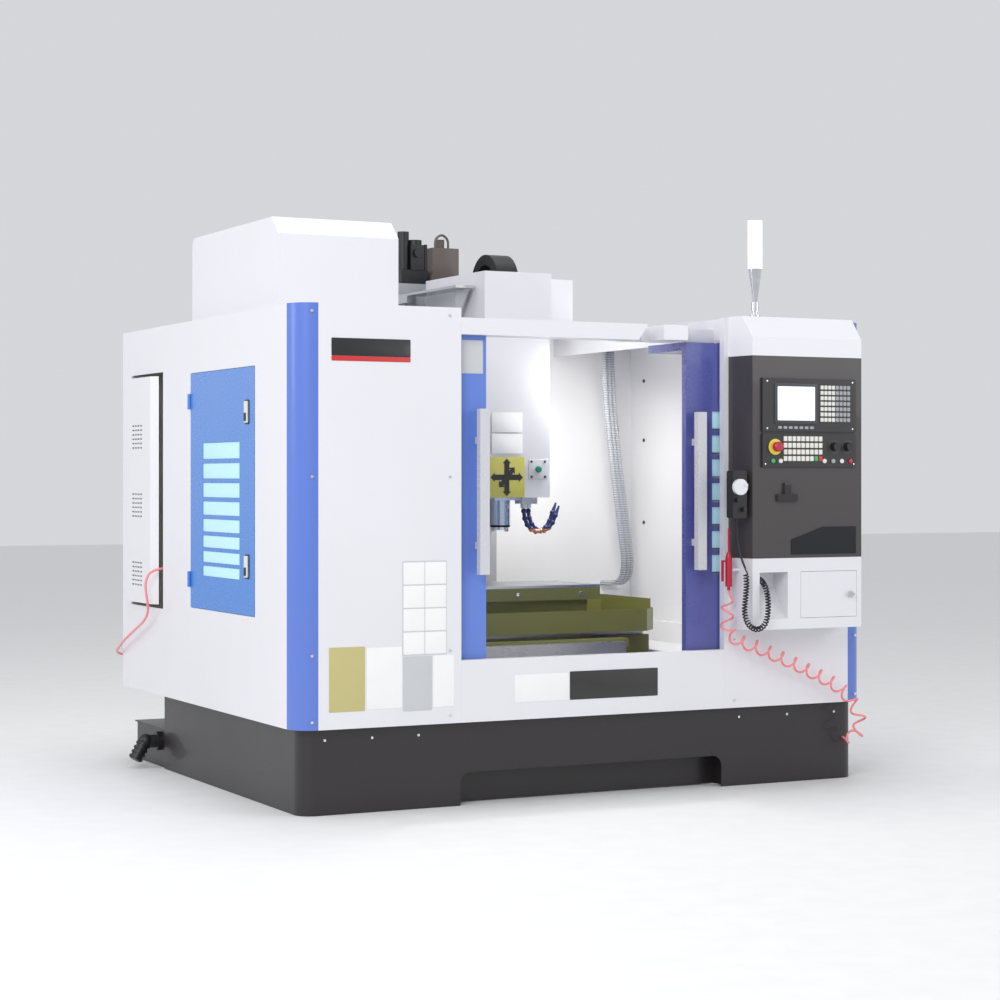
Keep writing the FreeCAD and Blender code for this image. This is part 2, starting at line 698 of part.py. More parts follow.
def spindle():
    """Rotating spindle with a tapered tool seat and two drive keys."""
    shaft = rod("z", "30", ("middle", "spindle_y", "nose_low + 4"), "520")
    face = rod("z", "36", ("middle", "spindle_y", "nose_low"), "11.5")
    keys = [
        box((x, f"{x} + 12"), ("spindle_y - 7", "spindle_y + 7"), ("nose_low - 6", "nose_low + 4"))
        for x in ("middle - 34", "middle + 22")
    ]
    seat = taper("z", "22", "13", ("middle", "spindle_y", "nose_low - 7"), "72")
    bore = rod("z", "9", ("middle", "spindle_y", "nose_low - 10"), "560")
    return finish("spindle", cut(fuse(shaft, face, *keys), seat, bore))


def coolant_manifold():
    """Block beside the nose with two elbows for the jointed hoses."""
    block = box(("middle + 62", "middle + 132"), ("spindle_y - 70", "spindle_y - 10"),
                ("head_low - 26", "head_low"))
    stubs = [
        rod("z", "13", (x, y, "head_low - 44"), "20")
        for x, y in (("middle + 80", "spindle_y - 52"), ("middle + 112", "spindle_y - 30"))
    ]
    return finish("coolant_manifold", fuse(block, *stubs))


def hose_shape(points, radius, nozzle):
    """Beads of a jointed hose along a line of points, ending in a slim nozzle."""
    beads = []
    for first, second in zip(points, points[1:]):
        run = second - first
        beads.append(Part.makeCylinder(radius * 0.72, run.Length, first, run))
        beads.append(Part.makeSphere(radius, first))
    beads.append(Part.makeSphere(radius, points[-1]))
    way = (points[-1] - points[-2]).normalize()
    beads.append(Part.makeCone(radius * 0.8, radius * 0.35, nozzle, points[-1], way))
    return beads[0].multiFuse(beads[1:])


def coolant_hoses():
    """Two jointed hoses that bow down from the manifold and point up at the cutter."""
    hoses = []
    for start_x, start_y, reach, drop, rise in (
        (80.0, -52.0, 128.0, 88.0, 60.0), (112.0, -30.0, 120.0, 84.0, 46.0),
    ):
        points = []
        for i in range(9):
            angle = math.pi * 0.108 * i
            x = size("middle") + start_x + reach * (1 - math.cos(angle)) / 2
            z = size("head_low") - 55 - drop * math.sin(angle)
            z += (rise - 30) * (i / 8) ** 3
            points.append(FreeCAD.Vector(x, size("spindle_y") + start_y - 2.0 * i, z))
        hoses.append(hose_shape(points, 11.0, 42.0))
    return finish("coolant_hoses", group(*[shaped(hose) for hose in hoses]))


# magazine -----------------------------------------------------------


def magazine_cover():
    """Sheet hood over the tool disc, with a sloping front top."""
    outline = [
        ("magazine_front", "full_height"), ("magazine_rear", "full_height"),
        ("magazine_rear", "magazine_top - 25"), ("magazine_rear - 25", "magazine_top"),
        ("magazine_front + 66", "magazine_top"), ("magazine_front", "magazine_edge"),
    ]
    inside = [
        ("magazine_front + skin", "full_height - 5"), ("magazine_rear - skin", "full_height - 5"),
        ("magazine_rear - skin", "magazine_top - 27"), ("magazine_rear - 27", "magazine_top - skin"),
        ("magazine_front + 68", "magazine_top - skin"), ("magazine_front + skin", "magazine_edge - 2"),
    ]
    outer = profile("YZ", outline, "magazine_left", "magazine_right")
    inner = profile("YZ", inside, "magazine_left + skin", "magazine_right - skin")
    return finish("magazine_cover", cut(outer, inner))


def magazine_disc():
    """Tool disc on its shaft, with a ring of sixteen pots."""
    disc = rod("x", "disc_radius", ("disc_left", "disc_y", "disc_z"), "26")
    shaft = rod("x", "38", ("disc_left + 20", "disc_y", "disc_z"),
                "arm_x - 70 - running - disc_left - 20")
    items = [disc, shaft]
    bores = []
    for i in range(16):
        turn = 2 * math.pi * i / 16
        y = f"disc_y + (disc_radius - 24) * {math.cos(turn):.5f}"
        z = f"disc_z + (disc_radius - 24) * {math.sin(turn):.5f}"
        items.append(rod("x", "pot_radius", ("disc_left + 20", y, z), "96"))
        bores.append(rod("x", "pot_radius - 12", ("disc_left + 50", y, z), "70"))
    return finish("magazine_disc", cut(fuse(*items), *bores))


def change_arm():
    """Double-ended tool arm on a shaft below the gear box, parked along the machine."""
    hub = rod("z", "55", ("arm_x", "disc_y", "arm_z"), "44")
    shaft = rod("z", "28", ("arm_x", "disc_y", "arm_z + 40"), "disc_z - 190 - running - arm_z - 40")
    bar = box(("arm_x - 38", "arm_x + 38"), ("disc_y - arm_reach", "disc_y + arm_reach"),
              ("arm_z + 4", "arm_z + 38"))
    bites = [
        rod("z", "31", ("arm_x + 30", y, "arm_z - 5"), "60")
        for y in ("disc_y - arm_reach + 42", "disc_y + arm_reach - 42")
    ]
    return finish("change_arm", fuse(cut(bar, *bites), hub, shaft))


# enclosure ----------------------------------------------------------


def pan(x, y, z, open_side):
    """A folded sheet panel: a shallow box that is open on its rear, left or right side."""
    inner = []
    for (low, high), axis in zip((x, y, z), "xyz"):
        start = f"{low} + skin"
        end = f"{high} - skin"
        if open_side == "+" + axis:
            end = f"{high} + 5"
        if open_side == "-" + axis:
            start = f"{low} - 5"
        inner.append((start, end))
    return cut(box(x, y, z), box(*inner))


def left_front_panel():
    return finish("left_front_panel", pan(
        ("corner_radius + running", "opening_left"), ("0", "fold"),
        ("panel_low", "full_height"), "+y"))


def right_front_panel():
    """Panel behind the console, with a folded post beside the opening."""
    return finish("right_front_panel", pan(
        ("opening_right + 4", "full_width - corner_radius - running"), ("0", "fold"),
        ("panel_low", "full_height"), "+y"))


def corner_columns():
    """Two quarter-round corner skins."""
    items = []
    for x, far in (("corner_radius", "0"), ("full_width - corner_radius", "full_width")):
        span = ("0", "corner_radius") if far == "0" else (x, far)
        shell = cut(
            rod("z", "corner_radius", (x, "corner_radius", "panel_low"), "full_height - panel_low"),
            rod("z", "corner_radius - skin", (x, "corner_radius", "panel_low - 5"),
                "full_height - panel_low + 10"),
        )
        items.append(common(shell, box(span, ("0", "corner_radius"), ("panel_low", "full_height"))))
    return finish("corner_columns", group(*items))


def left_side_panel():
    """Side sheet with an opening for the access door and one for the cabinet."""
    sheet_pan = pan(("0", "fold"), ("corner_radius + running", "full_depth"),
                    ("panel_low", "full_height"), "+x")
    door_hole = box(("-5", "fold + 5"), ("side_door_front", "side_door_rear"),
                    ("side_door_low", "side_door_high"))
    hatch_hole = box(("-5", "fold + 5"), ("cabinet_front", "cabinet_rear"),
                     ("cabinet_low + 10", "cabinet_high - 10"))
    frame = cut(
        box(("0", "fold"), ("side_door_front - skin", "side_door_rear + skin"),
            ("side_door_low - skin", "side_door_high + skin")),
        box(("-5", "fold + 5"), ("side_door_front", "side_door_rear"),
            ("side_door_low", "side_door_high")),
    )
    return finish("left_side_panel", fuse(cut(sheet_pan, door_hole, hatch_hole), frame))


def barrels(y, lows):
    """Hinge barrels, one above each low end, just clear of the side sheet."""
    return [rod("z", "hinge_radius", ("-hinge_radius - running", y, z), "60") for z in lows]


def side_door():
    """Hinged access door with eight slots of falling height."""
    leaf = pan(
        ("-2", "fold - 4"),
        ("side_door_front + panel_gap", "side_door_rear - panel_gap"),
        ("side_door_low + panel_gap", "side_door_high - panel_gap"), "+x")
    slots = []
    top = 0.0
    for i in range(8):
        tall = 62.0 - 3.1 * i
        slots.append(box(
            ("-5", "fold"), ("side_window_front", "side_window_rear"),
            (f"side_door_high - 272 - {top + tall:.1f}", f"side_door_high - 272 - {top:.1f}")))
        top += tall + 15.5 - 0.5 * i
    return finish("side_door", fuse(cut(leaf, *slots), *barrels("side_door_rear", (
        "side_door_low + 80", "side_door_high - 140"))))


def electrical_cabinet():
    """Switch cabinet set into the left rear, open towards its hatch."""
    return finish("electrical_cabinet", pan(
        ("skin + running", "cabinet_depth"), ("cabinet_front", "cabinet_rear"),
        ("cabinet_low", "cabinet_high"), "-x"))


def cabinet_door():
    """Proud hatch with a sloping front edge and three banks of louvre slots."""
    leaf = profile("XY", [
        ("0 - 2", "hatch_front + 4"), ("0 - 2", "hatch_rear"),
        ("-hatch_proud", "hatch_rear"), ("-hatch_proud", "hatch_front + 34"),
    ], "hatch_low", "hatch_high")
    inner = profile("XY", [
        ("0 + 5", "hatch_front + 12"), ("0 + 5", "hatch_rear - skin"),
        ("-hatch_proud + skin", "hatch_rear - skin"), ("-hatch_proud + skin", "hatch_front + 42"),
    ], "hatch_low + skin", "hatch_high - skin")
    slots = []
    for bank in ("hatch_high - 200", "hatch_high - 480", "hatch_high - 760"):
        for row in range(6):
            for place_y in range(4):
                y = f"hatch_rear - 90 - {place_y * 34}"
                z = f"{bank} - {row * 18}"
                slots.append(box(("-hatch_proud - 5", "-hatch_proud + skin + 5"),
                                 (f"{y} - 24", y), (z, f"{z} + 7")))
    return finish("cabinet_door", fuse(cut(leaf, inner, *slots), *barrels("hatch_rear + 4", (
        "hatch_low + 80", "hatch_high - 140"))))


def rear_shell():
    """Right side, rear and roof sheets, with the raised guard behind the head."""
    right = pan(("full_width - fold", "full_width"), ("corner_radius + running", "full_depth"),
                ("panel_low", "full_height"), "-x")
    rear = box(("fold + 1", "full_width - 5"), ("full_depth - skin", "full_depth"),
               ("panel_low", "full_height"))
    roofs = [
        box(x, ("fold + 1", "full_depth - 2"), ("full_height - skin", "full_height"))
        for x in (("fold + 1", "roof_left"), ("roof_right", "full_width - fold + 2"))
    ]
    edges = [
        box(x, ("fold + 1", "wall_rear - skin - running"), (z, "full_height"))
        for x, z in (
            (("roof_left - skin", "roof_left"), "header_low + 12"),
            (("roof_right", "roof_right + skin"), "header_low + 12"),
        )
    ]
    hole = box(("magazine_left + 20", "magazine_right - 20"),
               ("magazine_front + 20", "magazine_rear - 20"),
               ("full_height - 20", "full_height + 5"))
    guard_low = "full_height - skin"
    guard = cut(
        box(("column_right + 25", "roof_right + 12"), ("column_front - 50", "full_depth - 2"),
            (guard_low, "column_top + 40")),
        box(("column_right + 25 - 5", "roof_right + 12 - skin"),
            ("column_front - 50 + skin", "full_depth + 5"),
            (f"{guard_low} - 5", "column_top + 40 - skin")),
    )
    return finish("rear_shell", fuse(cut(fuse(right, rear, *roofs, *edges), hole), guard))


def inner_walls():
    """Splash walls and sloping chip floor round the work area."""
    low = "wall_low"
    high = "full_height - skin - 1"
    left = box(("wall_left", "wall_left + skin"), ("80", "wall_rear"), (low, high))
    right = box(("wall_right", "wall_right + skin"), ("80", "wall_rear"), (low, high))
    rear_left = box(("wall_left", "column_left - 110"), ("wall_rear - skin", "wall_rear"),
                    (low, high))
    rear_right = box(("column_right + running", "wall_right + skin"), ("wall_rear - skin", "wall_rear"),
                     (low, high))
    notch = box(("wall_left - 20", "wall_right + 20"),
                ("75", "door_front + door_sheet + door_roof + 20"),
                ("header_low - running - 60", "full_height"))
    ledge = box(("wall_right - 40", "wall_right + 2"), ("80", "wall_rear"), (low, "wall_low + 90"))
    floors = [
        box(x, ("80", "wall_rear"), (low, "wall_low + skin"))
        for x in (("wall_left", "middle - saddle_half - 210"),
                  ("middle + saddle_half + 210", "wall_right + 2"))
    ]
    rim = box(("wall_left", "wall_right + skin"), ("80", "80 + skin"), (low, "door_low - 3"))
    return finish("inner_walls", fuse(
        cut(fuse(left, right, rear_left, rear_right, ledge, *floors, rim), notch)))


def apron():
    return finish("apron", pan(
        ("opening_left + running", "opening_right + 4 - running"), ("0", "fold"),
        ("panel_low", "apron_top"), "+y"))


def header_beam():
    """Beam over the opening with a bevelled end, and a short block after the switch gap."""
    beam = profile("XZ", [
        ("opening_left + running", "header_low"), ("header_end - 14", "header_low"),
        ("header_end + 26", "header_top"), ("opening_left + running", "header_top"),
    ], "0", "header_depth")
    block = box(("block_left", "block_right"), ("0", "header_depth"), ("header_low + 4", "header_top"))
    spine = box(("header_end - 40", "roof_right"), ("header_depth - skin", "header_depth + 26"),
                ("header_low", "header_top - 6"))
    switch = box(("header_end + 36", "header_end + 56"), ("header_depth - 40", "header_depth"),
                 ("header_low + 4", "header_low + 44"))
    return finish("header_beam", fuse(beam, block, spine, switch))


# doors --------------------------------------------------------------


def sliding_door(label, low, high, windows):
    """Door with a front pan, a roof pan that reaches back over the work, and seven slots."""
    front = pan((low, high), ("door_front", "door_front + door_sheet"),
                ("door_low", "header_low - running"), "+y")
    roof = box((low, high), ("door_front + door_sheet - 1", "door_front + door_sheet + door_roof"),
               ("header_low - running - 30", "header_low - running - 26"))
    lip = box((low, high), ("door_front + door_sheet + door_roof - skin",
                            "door_front + door_sheet + door_roof"), ("header_low - running - 30", "header_low - running"))
    ends = [
        box(x, ("door_front + door_sheet - 1", "door_front + door_sheet + door_roof"),
            ("header_low - running - 30", "header_low - running"))
        for x in ((low, f"{low} + skin"), (f"{high} - skin", high))
    ]
    slots = [
        box(windows, ("door_front - 5", "door_front + door_sheet"),
            (f"window_low + window_pitch * {i}", f"window_low + window_pitch * {i} + window_tall"))
        for i in range(7)
    ]
    return finish(label, cut(fuse(front, roof, lip, *ends), *slots))


def left_door():
    return sliding_door(
        "left_door", "left_door_edge - door_width", "left_door_edge",
        ("left_door_edge - 116 - window_wide", "left_door_edge - 116"))


def right_door():
    return sliding_door(
        "right_door", "right_door_edge", "right_door_edge + door_width",
        ("right_door_edge + 116", "right_door_edge + 116 + window_wide"))


def grip(label, low):
    """Square bar handle on two standing blocks."""
    high = f"{low} + grip_wide"
    bar = box((low, high), ("door_front - grip_reach", "door_front - grip_reach + 28"),
              ("grip_low", "grip_high"))
    feet = [
        box((f"{low} + 9", f"{high} - 9"), ("door_front - grip_reach + 27", "door_front"), (z, f"{z} + 26"))
        for z in ("grip_low + 90", "grip_high - 126")
    ]
    return finish(label, fuse(bar, *feet))


def left_door_handle():
    return grip("left_door_handle", "left_door_edge - 16 - grip_wide")


def right_door_handle():
    return grip("right_door_handle", "right_door_edge + 16")


# console ------------------------------------------------------------


def console_outline(low, high):
    return profile("XY", [
        ("console_root", "0"), ("console_left", "console_front"),
        ("console_right", "console_front"), ("console_right", "0"),
    ], low, high)


def console_housing():
    """Console casing with a sloping hood, a pendant plate and a hanger on its front."""
    side = profile("YZ", [
        ("0", "console_low"), ("console_front", "console_low"), ("console_front", "hood_edge"),
        ("hood_back", "hood_top"), ("0", "hood_top"),
    ], "console_root - 5", "console_right + 5")
    shell = common(side, console_outline("console_low - 5", "hood_top + 5"))
    hollow = box(("console_left + skin", "console_right - skin"),
                 ("console_front + skin", "5"), ("console_low + skin", "hood_edge - 40"))
    plate = box(("pendant_x + 6", "console_left + 5"), ("pendant_y + running", "pendant_y + 6"),
                ("pendant_low + 60", "pendant_low + 130"))
    hanger = fuse(
        box(("console_left + 108", "console_left + 196"), ("console_front - 12", "console_front + 1"),
            ("console_low + 214", "console_low + 242")),
        box(("console_left + 138", "console_left + 166"), ("console_front - 12", "console_front + 1"),
            ("console_low + 240", "console_low + 284")),
    )
    return finish("console_housing", fuse(cut(shell, hollow), plate, hanger))


def lower_box():
    """White box under the console with an open nook and a locker, and a hook for the air gun."""
    shell = console_outline("box_low", "console_low - running")
    nook = profile("YZ", [
        ("console_front - 5", "nook_low"), ("console_front - 5", "nook_high"),
        ("console_front + 95", "nook_high"), ("console_front + 95", "nook_high - 60"),
        ("console_front + 12", "nook_low"),
    ], "nook_left", "nook_right")
    locker = box(("locker_left + 8", "locker_right - 8"), ("console_front - 5", "console_front + 115"),
                 ("locker_low + 8", "locker_high - 8"))
    rebate = box(("locker_left", "locker_right"), ("console_front - 5", "console_front + 6"),
                 ("locker_low", "locker_high"))
    hook = box(("gun_x + 13 + running", "console_left"), ("gun_y - 5", "gun_y + 5"),
               ("gun_low + 60", "gun_low + 68"))
    return finish("lower_box", fuse(cut(shell, nook, locker, rebate), hook))


def locker_door():
    """Small flap, hinged on its left edge, with a hole for the latch."""
    leaf = box(("locker_left + 1.5", "locker_right - 1.5"), ("console_front", "console_front + 5.5"),
               ("locker_low + 1.5", "locker_high - 1.5"))
    hole = rod("y", "8 + running", ("locker_right - 31", "console_front - 5", "locker_low + 86"), "20")
    return finish("locker_door", cut(leaf, hole))


def locker_latch():
    """Cam latch: round body, finger bar in front and cam behind."""
    body = rod("y", "8", ("locker_right - 31", "console_front - 8", "locker_low + 86"), "18")
    rim = rod("y", "12", ("locker_right - 31", "console_front - 8", "locker_low + 86"), "7.7")
    bar = box(("locker_right - 50", "locker_right - 20"), ("console_front - 18", "console_front - 7"),
              ("locker_low + 82", "locker_low + 90"))
    cam = box(("locker_right - 38", "locker_right - 12"), ("console_front + 7", "console_front + 10"),
              ("locker_low + 81", "locker_low + 91"))
    return finish("locker_latch", fuse(body, rim, bar, cam))


def operator_panel():
    """Display unit over the machine key panel, on a common backing, with holes for the controls."""
    front = "console_front - panel_thick"
    upper = box(("panel_left", "panel_right"), (front, "console_front - 2"),
                ("panel_top - 201", "panel_top"))
    lower = box(("panel_left", "panel_right"), (front, "console_front - 2"),
                ("panel_bottom", "panel_bottom + 124"))
    backing = box(("panel_left + 3", "panel_right - 3"), ("console_front - 3", "console_front"),
                  ("panel_bottom + 3", "panel_top - 3"))
    holes = [rod("y", "12 + running", ("stop_x", f"{front} - 5", "stop_z"), "panel_thick + 4")]
    for x in ("knob_x", "knob_x + knob_gap"):
        holes.append(rod("y", "6 + running", (x, f"{front} - 5", "knob_z"), "panel_thick + 4"))
    return finish("operator_panel", cut(fuse(upper, lower, backing), *holes))


def e_stop():
    """Mushroom push button that travels 4 mm into the panel."""
    front = "console_front - panel_thick"
    stem = rod("y", "12", ("stop_x", f"{front} - 20", "stop_z"), "22")
    cap = rod("y", "19", ("stop_x", f"{front} - 26", "stop_z"), "15")
    crown = taper("y", "14", "19", ("stop_x", f"{front} - 31", "stop_z"), "5.01")
    return finish("e_stop", fuse(stem, cap, crown))


def knob(label, x):
    """Rotary override knob with a skirt, a fluted grip and a stem."""
    front = "console_front - panel_thick"
    stem = rod("y", "6", (x, f"{front} - 5", "knob_z"), "9")
    skirt = rod("y", "knob_radius + 4", (x, f"{front} - 4", "knob_z"), "3.7")
    body = rod("y", "knob_radius", (x, f"{front} - 22", "knob_z"), "18.2")
    pointer = box((f"{x} - 1.5", f"{x} + 1.5"), (f"{front} - 23", f"{front} - 20"),
                  ("knob_z", "knob_z + knob_radius - 1"))
    return finish(label, fuse(stem, skirt, body, pointer))


# pendant, air gun and tower -----------------------------------------


def pendant():
    """Hand pendant with rounded ends, two selector knobs and a cable gland below."""
    low = "pendant_low"
    body = box(("pendant_x", "pendant_x + 62"), ("pendant_y - 45", "pendant_y"), (low, "pendant_high"))
    edges = rounded(body, 10.0, lambda middle, edge: abs(edge.Vertexes[0].Y - edge.Vertexes[-1].Y) > 1)
    knobs = [
        rod("y", "8.5", (f"pendant_x + {x}", "pendant_y - 61", f"{low} + {z}"), "16.5")
        for x, z in ((17, 70), (44, 34))
    ]
    gland = rod("z", "8", ("pendant_x + 31", "pendant_y - 22", f"{low} - 16"), "17")
    hub_hole = rod("y", "6 + running", ("pendant_x + 26", "pendant_y - 50", f"{low} + 118"), "20")
    return finish("pendant", fuse(cut(edges, hub_hole), *knobs, gland))


def pendant_dial():
    """Hand wheel with a finger peg."""
    x = "pendant_x + 26"
    z = "pendant_low + 118"
    hub = rod("y", "6", (x, "pendant_y - 54", z), "20")
    wheel = rod("y", "30", (x, "pendant_y - 60", z), "14.7")
    peg = rod("y", "4.5", (f"{x} + 19", "pendant_y - 72", f"{z} + 8"), "13")
    return finish("pendant_dial", fuse(hub, wheel, peg))


def air_gun():
    """Blow gun hanging nozzle up: pipe, red body and hose nipple."""
    pipe = rod("z", "4", ("gun_x", "gun_y", "gun_high - 2"), "92")
    body = rod("z", "13", ("gun_x", "gun_y", "gun_low"), "gun_high - gun_low - 20")
    neck = taper("z", "13", "6", ("gun_x", "gun_y", "gun_high - 20.01"), "20")
    nipple = rod("z", "6", ("gun_x", "gun_y", "gun_low - 14"), "15")
    return finish("air_gun", fuse(pipe, body, neck, nipple))


def air_trigger():
    """Bent wire lever beside the gun's body, pinned near the neck."""
    lever = box(("gun_x - 30", "gun_x - 25"), ("gun_y - 6", "gun_y + 6"),
                ("gun_low + 20", "gun_high - 30"))
    ear = box(("gun_x - 30", "gun_x - 13.6"), ("gun_y - 6", "gun_y + 6"),
              ("gun_high - 38", "gun_high - 30"))
    return finish("air_trigger", fuse(lever, ear))


def signal_tower():
    """Base, slim pole, bright collar and a tall round lamp."""
    x = "tower_x"
    y = "tower_y"
    foot = rod("z", "20", (x, y, "hood_top"), "8")
    pole = rod("z", "9", (x, y, "hood_top"), "62")
    collar = rod("z", "15", (x, y, "hood_top + 22"), "34")
    cone = taper("z", "9", "26", (x, y, "hood_top + 56"), "128")
    lamp = rod("z", "27", (x, y, "hood_top + 183.9"), "lamp_top - hood_top - 184")
    return finish("signal_tower", fuse(foot, pole, collar, cone, lamp))


# cords --------------------------------------------------------------

# Routes are lists of points chosen by hand, from the same corner as the rest.
PENDANT_LEAD = [
    (1729, -112, 1008), (1729, -112, 966), (1732, -119, 912), (1738, -134, 866), (1742, -150, 838),
]
PENDANT_COIL = [
    (1742, -150, 838), (1741, -163, 790), (1732, -168, 730), (1724, -170, 676), (1738, -172, 628),
    (1776, -174, 606), (1814, -174, 622), (1830, -172, 668), (1833, -168, 716), (1829, -161, 758),
    (1828, -136, 788), (1828, -92, 800), (1828, -45, 800),
]
AIR_HOSE = [
    (1727, -60, 752), (1727, -60, 716), (1719, -63, 672), (1713, -66, 628), (1730, -66, 586),
    (1776, -66, 556), (1836, -66, 540), (1898, -66, 516), (1958, -66, 490), (2018, -66, 468),
    (2078, -66, 440), (2138, -66, 414), (2198, -66, 386), (2254, -68, 348), (2296, -72, 296),
    (2318, -80, 244), (2318, -72, 194), (2314, -36, 160), (2312, 29.5, 160),
]
CABINET_CABLE = [
    (8, 1447, 812), (-42, 1449, 806), (-66, 1452, 764), (-62, 1455, 712), (-48, 1470, 664),
    (-38, 1506, 626), (-35, 1560, 596), (-34, 1628, 572), (-34, 1698, 548), (-34, 1768, 522),
    (-32, 1836, 500), (-30, 1900, 472), (-26, 1968, 446), (8, 2022, 428), (64, 2030, 424),
    (108, 1994, 424), (117, 1954.4, 424),
]
CONDUITS = [
    [(1885 + across, 1110 + back, 1734.5), (1888 + across, 1111 + back, 1640),
     (1898 + across, 1115 + back, 1500), (1922 + across, 1124 + back, 1320),
     (1956 + across, 1138 + back, 1120), (1994 + across, 1154 + back, 930),
     (2018 + across, 1170 + back, 810), (2030 + across, 1208 + back, 745),
     (2036 + across, 1272 + back, 719), (2038 + across, 1334 + back / 2, 714),
     (2038 + across, 1395, 714)]
    for across, back in ((-34, 0), (-8, 13), (18, 26))
]


def tube(points, radius):
    """A round tube along straight runs joined by tangent arcs."""
    corners = [FreeCAD.Vector(*point) for point in points]
    edges = []
    here = corners[0]
    radii = []
    for before, corner, after in zip(corners, corners[1:], corners[2:]):
        back = (before - corner).normalize()
        ahead = (after - corner).normalize()
        half = (math.pi - back.getAngle(ahead)) / 2
        reach = 0.45 * min((before - corner).Length, (after - corner).Length)
        radii.append(reach / math.tan(half))
        start = corner + back * reach
        end = corner + ahead * reach
        bulge = (back + ahead).normalize()
        middle = corner + bulge * (radii[-1] / math.cos(half) - radii[-1])
        edges.append(Part.LineSegment(here, start).toShape())
        edges.append(Part.Arc(start, middle, end).toShape())
        here = end
    edges.append(Part.LineSegment(here, corners[-1]).toShape())
    path = Part.Wire(edges)
    way = corners[1] - corners[0]
    circle = Part.Wire(Part.Circle(corners[0], way, radius).toShape())
    solid = path.makePipeShell([circle], True, True)
    ratio = solid.Volume / (math.pi * radius ** 2 * path.Length)
    print(f"  tube length {path.Length:.0f} tightest bend {min(radii):.0f} volume ratio {ratio:.3f}")
    return solid


def cords():
    finish("pendant_lead", shaped(tube(PENDANT_LEAD, 4.0)))
    finish("pendant_coil", shaped(tube(PENDANT_COIL, 12.0)))
    finish("air_hose", shaped(tube(AIR_HOSE, 20.0)))
    finish("cabinet_cable", shaped(tube(CABINET_CABLE, 5.0)))


def conduits():
    """Three corrugated conduits from a plate under the roof down to the rear splash wall."""
    plate = box(("1826", "1930"), ("1085", "1162"), ("1735", "1747"))
    bar = box(("1866", "1896"), ("1090", "wall_rear - skin - running"), ("1746", "1758"))
    return finish("conduits", group(
        fuse(plate, bar), *[shaped(tube(route, 11.0)) for route in CONDUITS]))


for build in (
    base_skirt, bed_casting, coolant_tank, drain_spout, guide_rails, saddle, x_rails, work_table,
    table_tray, y_screw, x_screw, saddle_cover, column_casting, z_screw, z_motor, air_unit,
    shelf_bracket, cable_chain, head_casting, head_cover, spindle_cartridge, spindle,
    coolant_manifold, coolant_hoses, magazine_cover, magazine_disc, change_arm, left_front_panel,
    right_front_panel, corner_columns, left_side_panel, side_door, electrical_cabinet,
    cabinet_door, rear_shell, inner_walls, apron, header_beam, left_door, right_door,
    left_door_handle, right_door_handle, console_housing, lower_box, locker_door, locker_latch,
    operator_panel, e_stop, pendant, pendant_dial, air_gun, air_trigger, signal_tower, conduits,
    cords,
):
    print(build.__name__)
    build()
knob("feed_knob", "knob_x")
knob("spindle_knob", "knob_x + knob_gap")

doc.recompute()

bad = [item.Label for item in doc.Objects if {"Invalid", "Error"} & set(item.State)]
for item in made:
    if item.Shape.isNull() or not item.Shape.isValid() or not item.Shape.Solids:
        bad.append(item.Label)
if bad:
    raise SystemExit(f"not built: {sorted(set(bad))}")

os.makedirs("parts", exist_ok=True)
for item in made:
    item.Shape.exportStep(f"parts/{item.Label}.step")
    bounds = item.Shape.BoundBox
    print(f"{item.Label:20s} {len(item.Shape.Solids):3d} x {bounds.XMin:8.1f} {bounds.XMax:8.1f}"
          f" y {bounds.YMin:8.1f} {bounds.YMax:8.1f} z {bounds.ZMin:8.1f} {bounds.ZMax:8.1f}")
print(len(made), "sub-parts")
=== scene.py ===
import bpy
import math
import numpy as np
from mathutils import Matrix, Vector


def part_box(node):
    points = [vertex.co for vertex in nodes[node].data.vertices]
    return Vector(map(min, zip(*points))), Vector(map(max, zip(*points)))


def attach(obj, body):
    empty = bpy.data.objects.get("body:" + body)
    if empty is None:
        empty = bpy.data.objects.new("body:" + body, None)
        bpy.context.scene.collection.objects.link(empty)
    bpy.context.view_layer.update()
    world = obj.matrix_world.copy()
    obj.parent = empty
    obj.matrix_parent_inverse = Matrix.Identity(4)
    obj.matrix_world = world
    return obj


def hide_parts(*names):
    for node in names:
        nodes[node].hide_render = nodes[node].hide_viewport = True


# Vertical machining centre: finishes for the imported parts, and the small pieces on them.

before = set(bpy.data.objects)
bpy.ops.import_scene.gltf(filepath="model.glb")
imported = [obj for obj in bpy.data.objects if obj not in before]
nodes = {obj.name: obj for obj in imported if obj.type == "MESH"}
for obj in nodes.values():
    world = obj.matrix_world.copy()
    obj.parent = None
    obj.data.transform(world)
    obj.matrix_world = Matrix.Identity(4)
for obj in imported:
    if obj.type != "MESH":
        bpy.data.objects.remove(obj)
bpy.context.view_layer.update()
print("frame loaded,", len(nodes), "parts")


cameraSettings = {"place": (-4.0552, -8.1425, 1.180), "turn": 26.968, "lens": 81.3, "rise": -0.0232}
cameraData = bpy.data.cameras.new("camera")
cameraData.lens = cameraSettings["lens"]
cameraData.sensor_width = 36.0
cameraData.shift_y = cameraSettings["rise"]
camera = bpy.data.objects.new("camera", cameraData)
camera.location = cameraSettings["place"]
camera.rotation_euler = (math.pi / 2, 0.0, -math.radians(cameraSettings["turn"]))
bpy.context.collection.objects.link(camera)
bpy.context.scene.camera = camera


